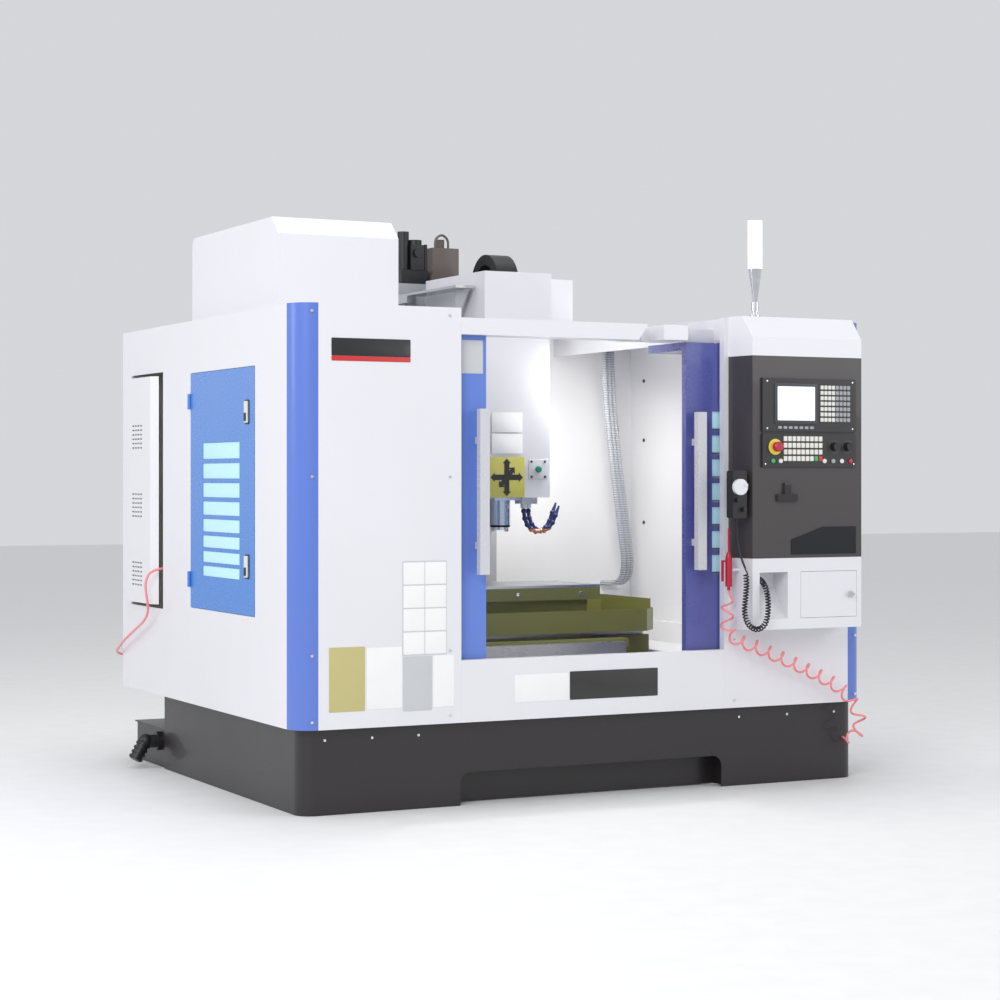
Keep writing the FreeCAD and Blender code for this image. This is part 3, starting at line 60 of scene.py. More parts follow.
class Value:
    # one socket of a node tree, with the usual signs of arithmetic
    def __init__(self, tree, socket):
        self.tree, self.socket = tree, socket

    def join(self, operation, first, second=None):
        node = self.tree.nodes.new("ShaderNodeMath")
        node.operation = operation
        for slot, value in zip(node.inputs, (first, second)):
            if isinstance(value, Value):
                self.tree.links.new(value.socket, slot)
            elif value is not None:
                slot.default_value = value
        return Value(self.tree, node.outputs[0])

    def __add__(self, other):
        return self.join("ADD", self, other)

    def __radd__(self, other):
        return self.join("ADD", other, self)

    def __sub__(self, other):
        return self.join("SUBTRACT", self, other)

    def __rsub__(self, other):
        return self.join("SUBTRACT", other, self)

    def __mul__(self, other):
        return self.join("MULTIPLY", self, other)

    def __gt__(self, other):
        return self.join("GREATER_THAN", self, other)

    def __lt__(self, other):
        return self.join("LESS_THAN", self, other)


class Finish:
    # one material: its shader, and short ways to add nodes to it
    def __init__(self, name):
        self.material = bpy.data.materials.new(name)
        self.material.use_nodes = True
        self.tree = self.material.node_tree
        self.shader = self.tree.nodes["Principled BSDF"]
        self.place = self.add("ShaderNodeTexCoord").outputs["Object"]
        split = self.add("ShaderNodeSeparateXYZ", {}, Vector=self.place)
        self.x, self.y, self.z = (Value(self.tree, out) for out in split.outputs)

    def add(self, kind, settings=None, **values):
        node = self.tree.nodes.new(kind)
        for key, setting in (settings or {}).items():
            if key == "stops":
                ramp = node.color_ramp
                while len(ramp.elements) < len(setting):
                    ramp.elements.new(0.5)
                for element, (at, colour) in zip(ramp.elements, setting):
                    element.position, element.color = at, (*colour, 1.0)
            else:
                setattr(node, key, setting)
        for key, value in values.items():
            self.feed(node.inputs[key.replace("_", " ")], value)
        return node

    def feed(self, socket, value):
        if isinstance(value, Value):
            value = value.socket
        if isinstance(value, bpy.types.NodeSocket):
            self.tree.links.new(value, socket)
        elif isinstance(value, tuple) and len(value) == 3 and socket.type == "RGBA":
            socket.default_value = (*value, 1.0)
        else:
            socket.default_value = value

    def noise(self, scale, detail=3.0, stretch=(1.0, 1.0, 1.0)):
        mapping = self.add("ShaderNodeMapping", {}, Vector=self.place, Scale=stretch)
        node = self.add("ShaderNodeTexNoise", {}, Vector=mapping.outputs[0], Scale=scale, Detail=detail)
        return Value(self.tree, node.outputs[0])

    def mix(self, factor, first, second):
        node = self.tree.nodes.new("ShaderNodeMix")
        node.data_type = "RGBA"
        self.feed(node.inputs[0], factor)
        self.feed(node.inputs[6], first)
        self.feed(node.inputs[7], second)
        return node.outputs[2]

    def bump(self, height, strength, distance):
        node = self.add("ShaderNodeBump", {}, Height=height, Strength=strength, Distance=distance)
        self.set(Normal=node.outputs[0])

    def colour(self):
        # whatever feeds the base colour so far
        return self.shader.inputs["Base Color"].links[0].from_socket

    def set(self, **values):
        for key, value in values.items():
            self.feed(self.shader.inputs[key.replace("_", " ")], value)
        return self


def shade(colour, factor):
    # the same hue, darker or lighter
    return tuple(min(1.0, part * factor) for part in colour)


def painted(name, colour, rough=0.34, peel=0.06, soil=0.12):
    # sprayed paint: a fine orange peel, broad cloudiness, and dust that gathers low down
    made = Finish(name)
    clouds = made.noise(2.2, 4.0)
    specks = made.noise(140.0, 2.0)
    low = 1.0 - made.z * 0.55
    dust = (low > 0.0) * low * clouds * soil
    base = made.mix(clouds * 0.35, colour, shade(colour, 0.86))
    made.set(Base_Color=made.mix(dust, base, paint["dust"]),
             Roughness=rough + (specks - 0.5) * 0.10 + (clouds - 0.5) * 0.16)
    made.bump(made.noise(420.0, 2.0), peel, 0.002)
    made.shader.inputs["Coat Weight"].default_value = 0.18
    return made


def metal(name, colour, rough, grain=(1.0, 1.0, 40.0), strength=0.12):
    # ground or brushed metal: noise drawn out along the grain
    made = Finish(name)
    lines = made.noise(38.0, 4.0, grain)
    clouds = made.noise(5.0, 3.0)
    made.set(Base_Color=made.mix(clouds * 0.5, colour, shade(colour, 0.74)),
             Roughness=rough + (lines - 0.5) * 0.22 + (clouds - 0.5) * 0.10, Metallic=1.0)
    made.bump(lines, strength, 0.002)
    return made


def moulded(name, colour, rough=0.45, texture=260.0, strength=0.10):
    # moulded plastic or rubber: a fine grained skin and faint wear
    made = Finish(name)
    grain = made.noise(texture, 2.0)
    wear = made.noise(9.0, 4.0)
    made.set(Base_Color=made.mix(wear * 0.4, colour, shade(colour, 1.25)),
             Roughness=rough + (grain - 0.5) * 0.12 + (wear - 0.5) * 0.14)
    made.bump(grain, strength, 0.001)
    return made


def glowing(name, colour, strength):
    # a surface that gives light of its own, with a faint haze in it: the lit screen, and the window panes,
    # whose glow is painted light
    made = Finish(name)
    haze = made.noise(12.0, 2.0)
    made.set(Base_Color=made.mix(haze * 0.3, colour, shade(colour, 0.9)), Roughness=0.3 + haze * 0.1,
             Emission_Color=made.mix(haze * 0.3, colour, shade(colour, 0.85)))
    made.shader.inputs["Emission Strength"].default_value = strength
    return made


def banded(made, edge, colour):
    # the part above a height takes another colour
    made.set(Base_Color=made.mix(made.z > edge, made.colour(), colour))
    return made


paint = {
    "white": (0.80, 0.795, 0.835), "innerWhite": (0.88, 0.88, 0.90), "blue": (0.10, 0.19, 0.62),
    # the right door's darker blue on the next line is painted shade
    "doorBlue": (0.12, 0.22, 0.66), "shadedDoorBlue": (0.085, 0.10, 0.36), "skyBlue": (0.045, 0.22, 0.66),
    "charcoal": (0.013, 0.010, 0.012), "console": (0.050, 0.044, 0.045), "olive": (0.20, 0.20, 0.055),
    "yellow": (0.56, 0.52, 0.11), "beige": (0.66, 0.64, 0.58), "casting": (0.45, 0.46, 0.50),
    "motor": (0.12, 0.095, 0.085), "black": (0.012, 0.012, 0.014), "navy": (0.016, 0.028, 0.13),
    # the window cyan on the next line also glows, as painted light in the panes
    "pink": (0.88, 0.26, 0.28), "red": (0.45, 0.014, 0.04), "windowPaneGlow": (0.46, 0.72, 0.84),
    # the door's pale blue on the next line is a painted highlight
    "dust": (0.33, 0.30, 0.27), "doorHighlightPale": (0.13, 0.27, 0.66), "lamp": (0.95, 0.94, 0.90),
    # the sleeve's dark and pale colours in this line and the next are painted shade in its troughs and
    # painted highlight on its crests
    "lampGlow": (1.0, 0.98, 0.92), "noseRing": (0.02, 0.02, 0.025), "sleeveTroughShade": (0.30, 0.31, 0.35),
    "sleeveCrestHighlight": (0.56, 0.58, 0.62), "nozzle": (0.55, 0.26, 0.18), "tableSide": (0.20, 0.20, 0.075),
    "hanger": (0.006, 0.006, 0.007),
}

white = painted("whitePaint", paint["white"])
innerWhite = painted("innerWhitePaint", paint["innerWhite"], rough=0.42)
blue = painted("bluePaint", paint["blue"])
doorBlue = painted("doorBluePaint", paint["doorBlue"], rough=0.30)
# the right door takes the doors' blue darkened, as painted shade
shadedDoorBlue = painted("shadedDoorBluePaint", paint["shadedDoorBlue"], rough=0.30)
charcoal = painted("charcoalPaint", paint["charcoal"], rough=0.42, soil=0.03)
olive = painted("olivePaint", paint["olive"], rough=0.44)
yellow = painted("yellowPaint", paint["yellow"], rough=0.40)
casting = painted("castingPaint", paint["casting"], rough=0.46, peel=0.16)
motorPaint = painted("motorPaint", paint["motor"], rough=0.46)
blackPaint = painted("blackPaint", paint["black"], rough=0.32)
beige = moulded("panelPlastic", paint["beige"], rough=0.42)
blackPlastic = moulded("blackPlastic", paint["black"], rough=0.40)
panelBlack = moulded("panelBlack", (0.022, 0.021, 0.023), rough=0.38)
dialWhite = moulded("dialWhite", (0.72, 0.72, 0.74), rough=0.30)
pinkPlastic = moulded("pinkPlastic", paint["pink"], rough=0.26)
redPlastic = moulded("redPlastic", paint["red"], rough=0.25)
ground = metal("groundSteel", (0.62, 0.63, 0.66), 0.34, (40.0, 1.0, 1.0))
screwSteel = metal("screwSteel", (0.52, 0.53, 0.56), 0.24, (1.0, 40.0, 1.0), 0.3)
satinSilver = painted("satinSilver", (0.62, 0.62, 0.66), rough=0.26, peel=0.02)
brushed = metal("brushedSteel", (0.66, 0.67, 0.70), 0.30)
chrome = metal("chromePlate", (0.80, 0.81, 0.84), 0.12, (1.0, 1.0, 1.0), 0.02)
# window panes: a pale cyan that glows a little, as painted light in the glass
windowPaneGlow = glowing("windowPanePaintedGlow", paint["windowPaneGlow"], 0.16)


# where a finish changes along its part: metres from the floor or from the part's own end; the door's painted
# highlight grows by a share for each metre and the sleeve's rings, with their painted shade and highlight,
# are radians for each metre
changes = {"doorHighlightStart": 0.67, "doorHighlightRate": 0.75, "lampTall": 0.182, "noseRing": 0.008, "nozzleTall": 0.022,
           "tableTop": 0.010, "hangerLow": 1.078, "hangerHigh": 1.150, "faceDepth": 0.0005, "hoodLow": 1.636,
           "sleeveRings": 620.0}


def sideDoorPaintedHighlight():
    # side door: paler towards its top, as a painted highlight
    made = painted("sideDoorPaintLitTop", paint["skyBlue"], rough=0.28)
    source = made.colour()
    share = (made.z - changes["doorHighlightStart"]) * changes["doorHighlightRate"]
    made.set(Base_Color=made.mix(share, source, paint["doorHighlightPale"]))
    return made


def towerFinish():
    # chrome cone under a white lamp
    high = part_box("signal_tower")[1]
    made = metal("towerMetal", (0.82, 0.83, 0.86), 0.14, (1.0, 1.0, 1.0), 0.02)
    lamp = made.z > float(high[2]) - changes["lampTall"]
    source = made.colour()
    made.set(Base_Color=made.mix(lamp, source, paint["lamp"]), Metallic=1.0 - lamp,
             Emission_Color=made.mix(lamp, (0.0, 0.0, 0.0), paint["lampGlow"]))
    made.shader.inputs["Emission Strength"].default_value = 0.9
    return made


def spindleFinish():
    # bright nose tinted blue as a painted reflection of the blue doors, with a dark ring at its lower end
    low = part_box("spindle_cartridge")[0]
    made = metal("noseSteelBlueReflection", (0.56, 0.63, 0.80), 0.14, (1.0, 1.0, 30.0), 0.03)
    source = made.colour()
    made.set(Base_Color=made.mix(made.z < float(low[2]) + changes["noseRing"], source, paint["noseRing"]))
    return made


def conduitFinish():
    # corrugated sleeve: even rings up the run, their troughs given painted shade and their crests a painted
    # highlight
    made = moulded("conduitGrey", (0.46, 0.48, 0.52), rough=0.42)
    rings = made.add("ShaderNodeMath", {"operation": "SINE"})
    made.feed(rings.inputs[0], made.z * changes["sleeveRings"])
    ring = Value(made.tree, rings.outputs[0])
    made.set(Base_Color=made.mix(ring * 0.5 + 0.5, paint["sleeveTroughShade"], paint["sleeveCrestHighlight"]))
    made.bump(ring, 0.5, 0.002)
    return made


def hoseFinish():
    # beaded hose whose lower end is a copper nozzle
    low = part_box("coolant_hoses")[0]
    made = moulded("hoseNavy", paint["navy"], rough=0.30)
    source = made.colour()
    tip = made.z < float(low[2]) + changes["nozzleTall"]
    made.set(Base_Color=made.mix(tip, source, paint["nozzle"]), Metallic=tip * 0.8)
    return made


def tableFinish():
    # ground top, olive sides
    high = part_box("work_table")[1]
    made = metal("tableSteel", (0.60, 0.61, 0.64), 0.30, (40.0, 1.0, 1.0), 0.10)
    source = made.colour()
    side = made.z < float(high[2]) - changes["tableTop"]
    made.set(Base_Color=made.mix(side, source, paint["tableSide"]), Metallic=1.0 - side)
    return made


def consoleFinish():
    # charcoal body under a white hood
    made = painted("consoleTwoTone", paint["console"], rough=0.38, soil=0.02)
    face = float(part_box("console_housing")[0][1]) + changes["faceDepth"]
    hanger = (made.z > changes["hangerLow"]) * (made.z < changes["hangerHigh"]) * (made.y < face)
    source = made.colour()
    made.set(Base_Color=made.mix(hanger, source, paint["hanger"]))
    return banded(made, changes["hoodLow"], paint["white"])


finishes = {
    "base_skirt": charcoal, "bed_casting": casting, "coolant_tank": charcoal, "drain_spout": blackPlastic,
    "guide_rails": ground, "saddle": olive, "x_rails": ground, "work_table": tableFinish(),
    "table_tray": olive, "y_screw": screwSteel, "x_screw": screwSteel, "saddle_cover": brushed,
    "column_casting": casting, "z_screw": screwSteel, "z_motor": motorPaint, "air_unit": blackPlastic,
    "shelf_bracket": brushed, "cable_chain": blackPlastic, "head_casting": casting, "head_cover": white,
    "spindle_cartridge": spindleFinish(), "spindle": chrome, "coolant_manifold": brushed,
    "coolant_hoses": hoseFinish(), "magazine_cover": white, "magazine_disc": brushed,
    "change_arm": brushed, "left_front_panel": white, "right_front_panel": white,
    "corner_columns": blue, "left_side_panel": white, "side_door": sideDoorPaintedHighlight(),
    "electrical_cabinet": beige, "cabinet_door": white, "rear_shell": white,
    "inner_walls": innerWhite, "apron": white, "header_beam": white, "left_door": doorBlue,
    "right_door": shadedDoorBlue, "left_door_handle": satinSilver, "right_door_handle": satinSilver,
    "console_housing": consoleFinish(), "lower_box": white, "locker_door": white,
    "locker_latch": chrome, "operator_panel": panelBlack, "e_stop": redPlastic, "feed_knob": blackPlastic,
    "spindle_knob": blackPlastic, "pendant": blackPlastic, "pendant_dial": dialWhite,
    "air_gun": redPlastic, "air_trigger": redPlastic, "signal_tower": towerFinish(),
    "conduits": conduitFinish(),
}
for name, made in finishes.items():
    for holder in nodes[name].material_slots:
        holder.material = made.material
print("finishes set on", len(finishes), "parts")


def addMesh(name, points, faces, made, body, smooth=True):
    # one piece of a body, with its finish and its slot
    mesh = bpy.data.meshes.new(name)
    mesh.from_pydata(points.tolist(), [], faces)
    mesh.materials.append(made.material)
    mesh.polygons.foreach_set("use_smooth", [smooth] * len(mesh.polygons))
    if smooth:
        mesh.set_sharp_from_angle(angle=math.radians(38))
    piece = bpy.data.objects.new(name, mesh)
    bpy.context.collection.objects.link(piece)
    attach(piece, body)
    return piece


def ringFaces(rings, around, capStart=True, capEnd=True):
    # quads between rings of points, and one flat face over each end
    i, j = np.meshgrid(np.arange(rings - 1), np.arange(around), indexing="ij")
    k = (j + 1) % around
    quads = np.stack([i * around + j, i * around + k, (i + 1) * around + k, (i + 1) * around + j], axis=-1)
    faces = quads.reshape(-1, 4).tolist()
    if capStart:
        faces.append(list(range(around))[::-1])
    if capEnd:
        faces.append(list(range((rings - 1) * around, rings * around)))
    return faces


# each facing gives the across, up and outward directions of a plate; across x up = outward
facings = {
    "-y": ((1, 0, 0), (0, 0, 1), (0, -1, 0)), "+y": ((-1, 0, 0), (0, 0, 1), (0, 1, 0)),
    "-x": ((0, -1, 0), (0, 0, 1), (-1, 0, 0)), "+x": ((0, 1, 0), (0, 0, 1), (1, 0, 0)),
    "+z": ((1, 0, 0), (0, 1, 0), (0, 0, 1)), "-z": ((1, 0, 0), (0, -1, 0), (0, 0, -1)),
}


def roundedOutline(wide, tall, corner, steps=6):
    # four quarter circles of radius corner, each moved to its own corner of the rectangle
    corner = max(min(corner, wide / 2 - 1e-5, tall / 2 - 1e-5), 1e-5)
    angle = (np.arange(4)[:, None] * 90.0 + np.linspace(0.0, 90.0, steps)[None, :]) * math.pi / 180
    signX = np.array([1, -1, -1, 1])[:, None]
    signY = np.array([1, 1, -1, -1])[:, None]
    x = signX * (wide / 2 - corner) + corner * np.cos(angle)
    y = signY * (tall / 2 - corner) + corner * np.sin(angle)
    return np.stack([x.ravel(), y.ravel()], axis=1)


def plate(name, centre, wide, tall, thick, facing, made, body, slotName, corner=0.002, edge=0.0008):
    # a rounded rectangle carried outwards, drawn in over a quarter circle at its front edge
    across, up, out = (np.array(v, float) for v in facings[facing])
    turn = np.linspace(0.0, math.pi / 2, 4)
    edge = min(edge, thick * 0.9)
    depth = np.concatenate([[0.0], thick - edge + edge * np.sin(turn)])
    inset = np.concatenate([[0.0], edge * (1 - np.cos(turn))])
    rings = [roundedOutline(wide - 2 * d, tall - 2 * d, corner - d) for d in inset]
    flat = np.concatenate(rings)
    rise = np.repeat(depth, len(rings[0]))
    points = np.array(centre) + flat[:, :1] * across + flat[:, 1:] * up + rise[:, None] * out
    return addMesh(name, points, ringFaces(len(depth), len(rings[0])), made, body)


def turned(name, centre, facing, profile, made, body, around=32):
    # a profile of radius and height turned round the outward direction
    across, up, out = (np.array(v, float) for v in facings[facing])
    radius, height = np.array(profile, float).T
    angle = np.linspace(0.0, 2 * math.pi, around, endpoint=False)
    circle = np.cos(angle)[None, :, None] * across + np.sin(angle)[None, :, None] * up
    points = np.array(centre) + (radius[:, None, None] * circle + height[:, None, None] * out)
    return addMesh(name, points.reshape(-1, 3), ringFaces(len(radius), around), made, body)


def buttonProfile(radius, height):
    # straight side with a rounded shoulder
    turn = np.linspace(0.0, math.pi / 2, 5)
    soft = min(radius, height) * 0.35
    shoulder = [(radius - soft + soft * math.cos(t), height - soft + soft * math.sin(t)) for t in turn]
    return [(radius, 0.0)] + shoulder


def discProfile(inner, outer, thick, bevelIn=0.0, bevelDown=0.0):
    # a thin disc whose flat ends start at the inner radius, with a bevel at its outer front edge
    top = [(outer, thick - bevelDown)]
    if bevelIn:
        top.append((outer - bevelIn, thick))
    return [(inner, 0.0), (outer, 0.0)] + top + [(inner, thick)]


def screwHead(name, centre, facing, body, radius=0.0055, made=None):
    profile = buttonProfile(radius, radius * 0.5)
    return turned(name, centre, facing, profile, made or chrome, body, 16)


origin = (-1.15315, -0.8865, 0.0)  # the enclosure's front left corner, seen from the part's origin


def fromCorner(points):
    # millimetres from the enclosure's front left corner, as metres from the part's origin
    return np.array(points, float) / 1000.0 + np.array(origin)


def routeCurve(name, points, radius):
    # a round tube along a smooth line that the points steer
    data = bpy.data.curves.new(name, "CURVE")
    data.dimensions = "3D"
    spline = data.splines.new("NURBS")
    spline.points.add(len(points) - 1)
    spline.points.foreach_set("co", np.hstack([points, np.ones((len(points), 1))]).ravel())
    spline.order_u = 3
    spline.use_endpoint_u = True
    spline.resolution_u = 12
    data.bevel_depth = radius
    data.bevel_resolution = 5
    data.use_fill_caps = True
    piece = bpy.data.objects.new(name, data)
    bpy.context.collection.objects.link(piece)
    return piece


def smoothRoute(points):
    # the points of the route's own smooth line
    probe = routeCurve("probe", points, 0.0)
    mesh = bpy.data.meshes.new_from_object(probe.evaluated_get(bpy.context.evaluated_depsgraph_get()))
    line = np.empty(len(mesh.vertices) * 3)
    mesh.vertices.foreach_get("co", line)
    bpy.data.objects.remove(probe)
    return line.reshape(-1, 3)


# shares of the route's length: where the guide direction starts to change and how long it takes,
# how long the radius grows at each end, and where the turns start and how far they run
helixShares = {"guideStart": 0.72, "guideRun": 0.16, "ramp": 0.05, "turnStart": 0.04, "turnRun": 0.92}


def helixAlong(points, turns, wide, perTurn=12, steady=(0.0, 1.0, 0.0), last=(1.0, 0.0, 0.0)):
    # a circle of radius wide, square to the route, turned evenly as it travels along it
    line = smoothRoute(points)
    reach = np.concatenate([[0.0], np.cumsum(np.linalg.norm(np.diff(line, axis=0), axis=1))])
    along = np.linspace(0.0, reach[-1], turns * perTurn + 1)
    centre = np.stack([np.interp(along, reach, line[:, k]) for k in range(3)], axis=1)
    way = np.gradient(centre, axis=0)
    way /= np.linalg.norm(way, axis=1)[:, None]
    share = along / reach[-1]
    s = helixShares
    blend = np.clip((share - s["guideStart"]) / s["guideRun"], 0.0, 1.0)[:, None]
    guide = (1 - blend) * np.array(steady) + blend * np.array(last)
    side = np.cross(way, guide)
    side /= np.linalg.norm(side, axis=1)[:, None]
    over = np.cross(side, way)
    ramp = np.clip(np.minimum(share, 1 - share) / s["ramp"], 0.0, 1.0)[:, None]
    swell = wide * ramp * ramp * (3 - 2 * ramp)
    wound = np.clip((share - s["turnStart"]) / s["turnRun"], 0.0, 1.0)
    angle = (wound * turns * 2 * math.pi)[:, None]
    return centre + swell * (np.cos(angle) * side + np.sin(angle) * over)


cordSettings = {
    "pendantLead": {"radius": 0.004, "length": 0.177},
    "pendantCoil": {"radius": 0.0028, "turns": 46, "wide": 0.0088, "length": 2.55},
    "airHose": {"radius": 0.0042, "turns": 15, "wide": 0.0240, "length": 2.45},
    "cabinetCable": {"radius": 0.005, "length": 0.955},
}

leadRoute = fromCorner([
    (1729, -112, 1008), (1729, -112, 966), (1732, -119, 912), (1738, -134, 866), (1742, -150, 838),
])
coilRoute = fromCorner([
    (1742, -150, 838), (1741, -163, 790), (1732, -168, 730), (1724, -170, 676), (1738, -172, 628),
    (1776, -174, 606), (1814, -174, 622), (1830, -172, 668), (1833, -168, 716), (1829, -161, 758),
    (1828, -136, 788), (1828, -92, 800), (1828, -45, 800),
])
hoseRoute = fromCorner([
    (1727, -60, 752), (1727, -60, 716), (1719, -63, 672), (1713, -66, 628), (1730, -66, 586),
    (1776, -66, 556), (1836, -66, 540), (1898, -66, 516), (1958, -66, 490), (2018, -66, 468),
    (2078, -66, 440), (2138, -66, 414), (2198, -66, 386), (2254, -68, 348), (2296, -72, 296),
    (2318, -80, 244), (2318, -72, 194), (2314, -36, 160), (2312, 29.5, 160),
])
cableRoute = fromCorner([
    (8, 1447, 812), (-42, 1449, 806), (-66, 1452, 764), (-62, 1455, 712), (-48, 1470, 664),
    (-38, 1506, 626), (-35, 1560, 596), (-34, 1628, 572), (-34, 1698, 548), (-34, 1768, 522),
    (-32, 1836, 500), (-30, 1900, 472), (-26, 1968, 446), (8, 2022, 428), (64, 2030, 424),
    (108, 1994, 424), (117, 1954.4, 424),
])


def makeCord(name, route, settings, made, node):
    # one cord in place of its part: coiled when it has turns, else along its own points
    points = helixAlong(route, settings["turns"], settings["wide"]) if "turns" in settings else route
    piece = routeCurve(name, points, settings["radius"])
    piece.data.materials.append(made.material)
    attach(piece, "frame")
    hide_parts(node)
    return piece


makeCord("pendantLead", leadRoute, cordSettings["pendantLead"], blackPlastic,
         "pendant_lead")
makeCord("pendantCoil", coilRoute, cordSettings["pendantCoil"], blackPlastic,
         "pendant_coil")
makeCord("airHose", hoseRoute, cordSettings["airHose"], pinkPlastic,
         "air_hose")
makeCord("cabinetCable", cableRoute, cordSettings["cabinetCable"], pinkPlastic,
         "cabinet_cable")
print("cords laid")


doorWindows = {"wide": 0.300, "tall": 0.070, "pitch": 0.091, "low": 0.812, "inset": 0.116, "count": 7,
               "setBack": 0.006, "thick": 0.004, "play": 0.001, "corner": 0.004,
               "sillTall": 0.005, "sillDeep": 0.006, "sillRise": 0.003}


def slidingDoorWindows(node, body, fromHigh):
    # a column of panes, each over a dark sill, set back from the door's face
    s = doorWindows
    low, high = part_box(node)
    back = float(low[1]) + s["setBack"]
    if fromHigh:
        middle = float(high[0]) - s["inset"] - s["wide"] / 2
    else:
        middle = float(low[0]) + s["inset"] + s["wide"] / 2
    wide = s["wide"] - s["play"]
    for row in range(s["count"]):
        z = s["low"] + s["pitch"] * row + s["tall"] / 2
        plate(f"{body}.pane{row}", (middle, back + s["thick"], z), wide, s["tall"] - s["play"], s["thick"],
              "-y", windowPaneGlow, body, "grey_plastic", s["corner"])
        sill = z - s["tall"] / 2 + s["sillRise"]
        plate(f"{body}.sill{row}", (middle, back, sill), wide, s["sillTall"], s["sillDeep"],
              "-y", blackPlastic, body, "black_plastic", 0.001)


slidingDoorWindows("left_door", "left_door_body", True)
slidingDoorWindows("right_door", "right_door_body", False)

sideWindows = {"front": 0.548, "rear": 0.947, "tall": 62.0, "shrink": 3.1, "gap": 15.5, "gapShrink": 0.5,
               "doorTop": 1.581, "below": 0.272, "count": 8, "thick": 0.004, "play": 0.001, "corner": 0.004}


def sideDoorWindows():
    # panes and gaps that get narrower towards the floor
    s = sideWindows
    middle = (s["front"] + s["rear"]) / 2 + origin[1]
    wide = s["rear"] - s["front"] - s["play"]
    top = s["doorTop"] - s["below"]
    for row in range(s["count"]):
        tall = (s["tall"] - s["shrink"] * row) / 1000
        place = (origin[0] + s["thick"], middle, top - tall / 2)
        plate(f"sideDoor.pane{row}", place, wide, tall - s["play"], s["thick"], "-x", windowPaneGlow,
              "side_door_body", "grey_plastic", s["corner"])
        top -= tall + (s["gap"] - s["gapShrink"] * row) / 1000


sideDoorWindows()

sideLatch = {"y": 0.4655, "heights": (1.4155, 0.8535), "wide": 0.041, "tall": 0.089, "rim": 0.010,
             "rimOut": 0.002, "bodyOut": 0.0049, "gripOut": 0.0108, "gripDrop": 0.018,
             "grip": (0.018, 0.030)}


def sideDoorLatch(n, z):
    # rim, body and grip, each standing a little further out
    s = sideLatch
    y = s["y"] + origin[1]
    body = "side_door_body"
    plate(f"sideDoor.latchRim{n}", (origin[0] - s["rimOut"], y, z), s["wide"], s["tall"], 0.003, "-x",
          blackPlastic, body, "black_plastic", 0.006)
    plate(f"sideDoor.latch{n}", (origin[0] - s["bodyOut"], y, z), s["wide"] - s["rim"], s["tall"] - s["rim"],
          0.006, "-x", beige, body, "beige", 0.005, 0.002)
    plate(f"sideDoor.latchGrip{n}", (origin[0] - s["gripOut"], y, z - s["gripDrop"]), *s["grip"],
          0.003, "-x", blackPlastic, body, "black_plastic", 0.003)


for n, z in enumerate(sideLatch["heights"]):
    sideDoorLatch(n, z)
print("windows and latches set")


def onFront(x, y, z):
    # one place given in millimetres from the enclosure's front left corner
    return tuple(float(v) for v in fromCorner((x, y, z)))


def label(name, x0, x1, z0, z1, y, made, body="frame", thick=0.0012, slotName="grey_plastic"):
    # a thin blank plate between two pairs of edges, in millimetres
    plate(name, onFront((x0 + x1) / 2, y, (z0 + z1) / 2), (x1 - x0) / 1000, (z1 - z0) / 1000, thick, "-y",
          made, body, slotName, 0.003, 0.0004)


greyLabel = moulded("greyLabel", (0.52, 0.53, 0.55), rough=0.35)
whiteLabel = moulded("whiteLabel", (0.82, 0.82, 0.82), rough=0.35)
yellowLabel = moulded("yellowLabel", (0.78, 0.60, 0.05), rough=0.35)
mustardLabel = moulded("mustardLabel", (0.50, 0.45, 0.19), rough=0.4)
redLabel = moulded("redLabel", (0.55, 0.03, 0.03), rough=0.35)

sheetFace = -0.2  # millimetres: labels lie this far in front of the enclosure's sheets
frontLabels = {
    "badgePlate": ((133, 435, 1602, 1664), blackPaint),
    "badgeStripe": ((133, 435, 1584, 1601.5), redLabel),
    "apronWhitePlate": ((849, 1073, 363, 463), whiteLabel),
    "apronBlackPlate": ((1077, 1451, 363, 467), blackPaint),
    "panelYellowPlate": ((124, 260, 361, 586), mustardLabel),
    "panelWhitePlate": ((267, 402, 365, 581), whiteLabel),
    "panelGreyPlate": ((406, 519, 352, 545), greyLabel),
    "panelPalePlate": ((523, 606, 362, 545), whiteLabel),
    "cardBorder": ((404, 576, 549, 882), greyLabel),
}
for name, (edges, made) in frontLabels.items():
    label(name, *edges, sheetFace, made)

# blank cards in two columns, on the card border
cards = {"rows": 4, "columns": 2, "left": 407, "low": 552, "wide": 82, "tall": 78, "across": 85, "up": 82.5,
         "face": -1.4, "thick": 0.0006}
for row in range(cards["rows"]):
    for column in range(cards["columns"]):
        x, z = cards["left"] + column * cards["across"], cards["low"] + row * cards["up"]
        label(f"card{row}x{column}", x, x + cards["wide"], z, z + cards["tall"], cards["face"], whiteLabel,
              thick=cards["thick"])

doorLow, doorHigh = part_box("left_door")
doorCard = {"inset": 0.056, "height": 1.612, "wide": 0.086, "tall": 0.120}
place = (float(doorHigh[0]) - doorCard["inset"], float(doorLow[1]) - 0.0002, doorCard["height"])
plate("leftDoorCard", place, doorCard["wide"], doorCard["tall"], 0.001, "-y", greyLabel,
      "left_door_body", "grey_plastic", 0.002, 0.0004)

screwRows = {"left": (60, 590), "heights": (330, 560, 1180, 1755), "right": (1790, 2350),
             "skirt": (120, 300, 480, 1830, 2050, 2270), "skirtFace": 29.8, "skirtHeight": 262}
for side in ("left", "right"):
    for x in screwRows[side]:
        for z in screwRows["heights"]:
            if side == "right" and 600 < z < 1790 and x < 2290:  # the console covers these
                continue
            screwHead(f"{side}Screw.{x}.{z}", onFront(x, sheetFace, z), "-y", "frame")

for n, x in enumerate(screwRows["skirt"]):
    place = onFront(x, screwRows["skirtFace"], screwRows["skirtHeight"])
    screwHead(f"skirtScrew.{n}", place, "-y", "frame", 0.005)


headFront = float(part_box("head_cover")[0][1])
headPlate = {"x": 1148, "z": 1178, "wide": 0.158, "tall": 0.160, "thick": 0.0015}


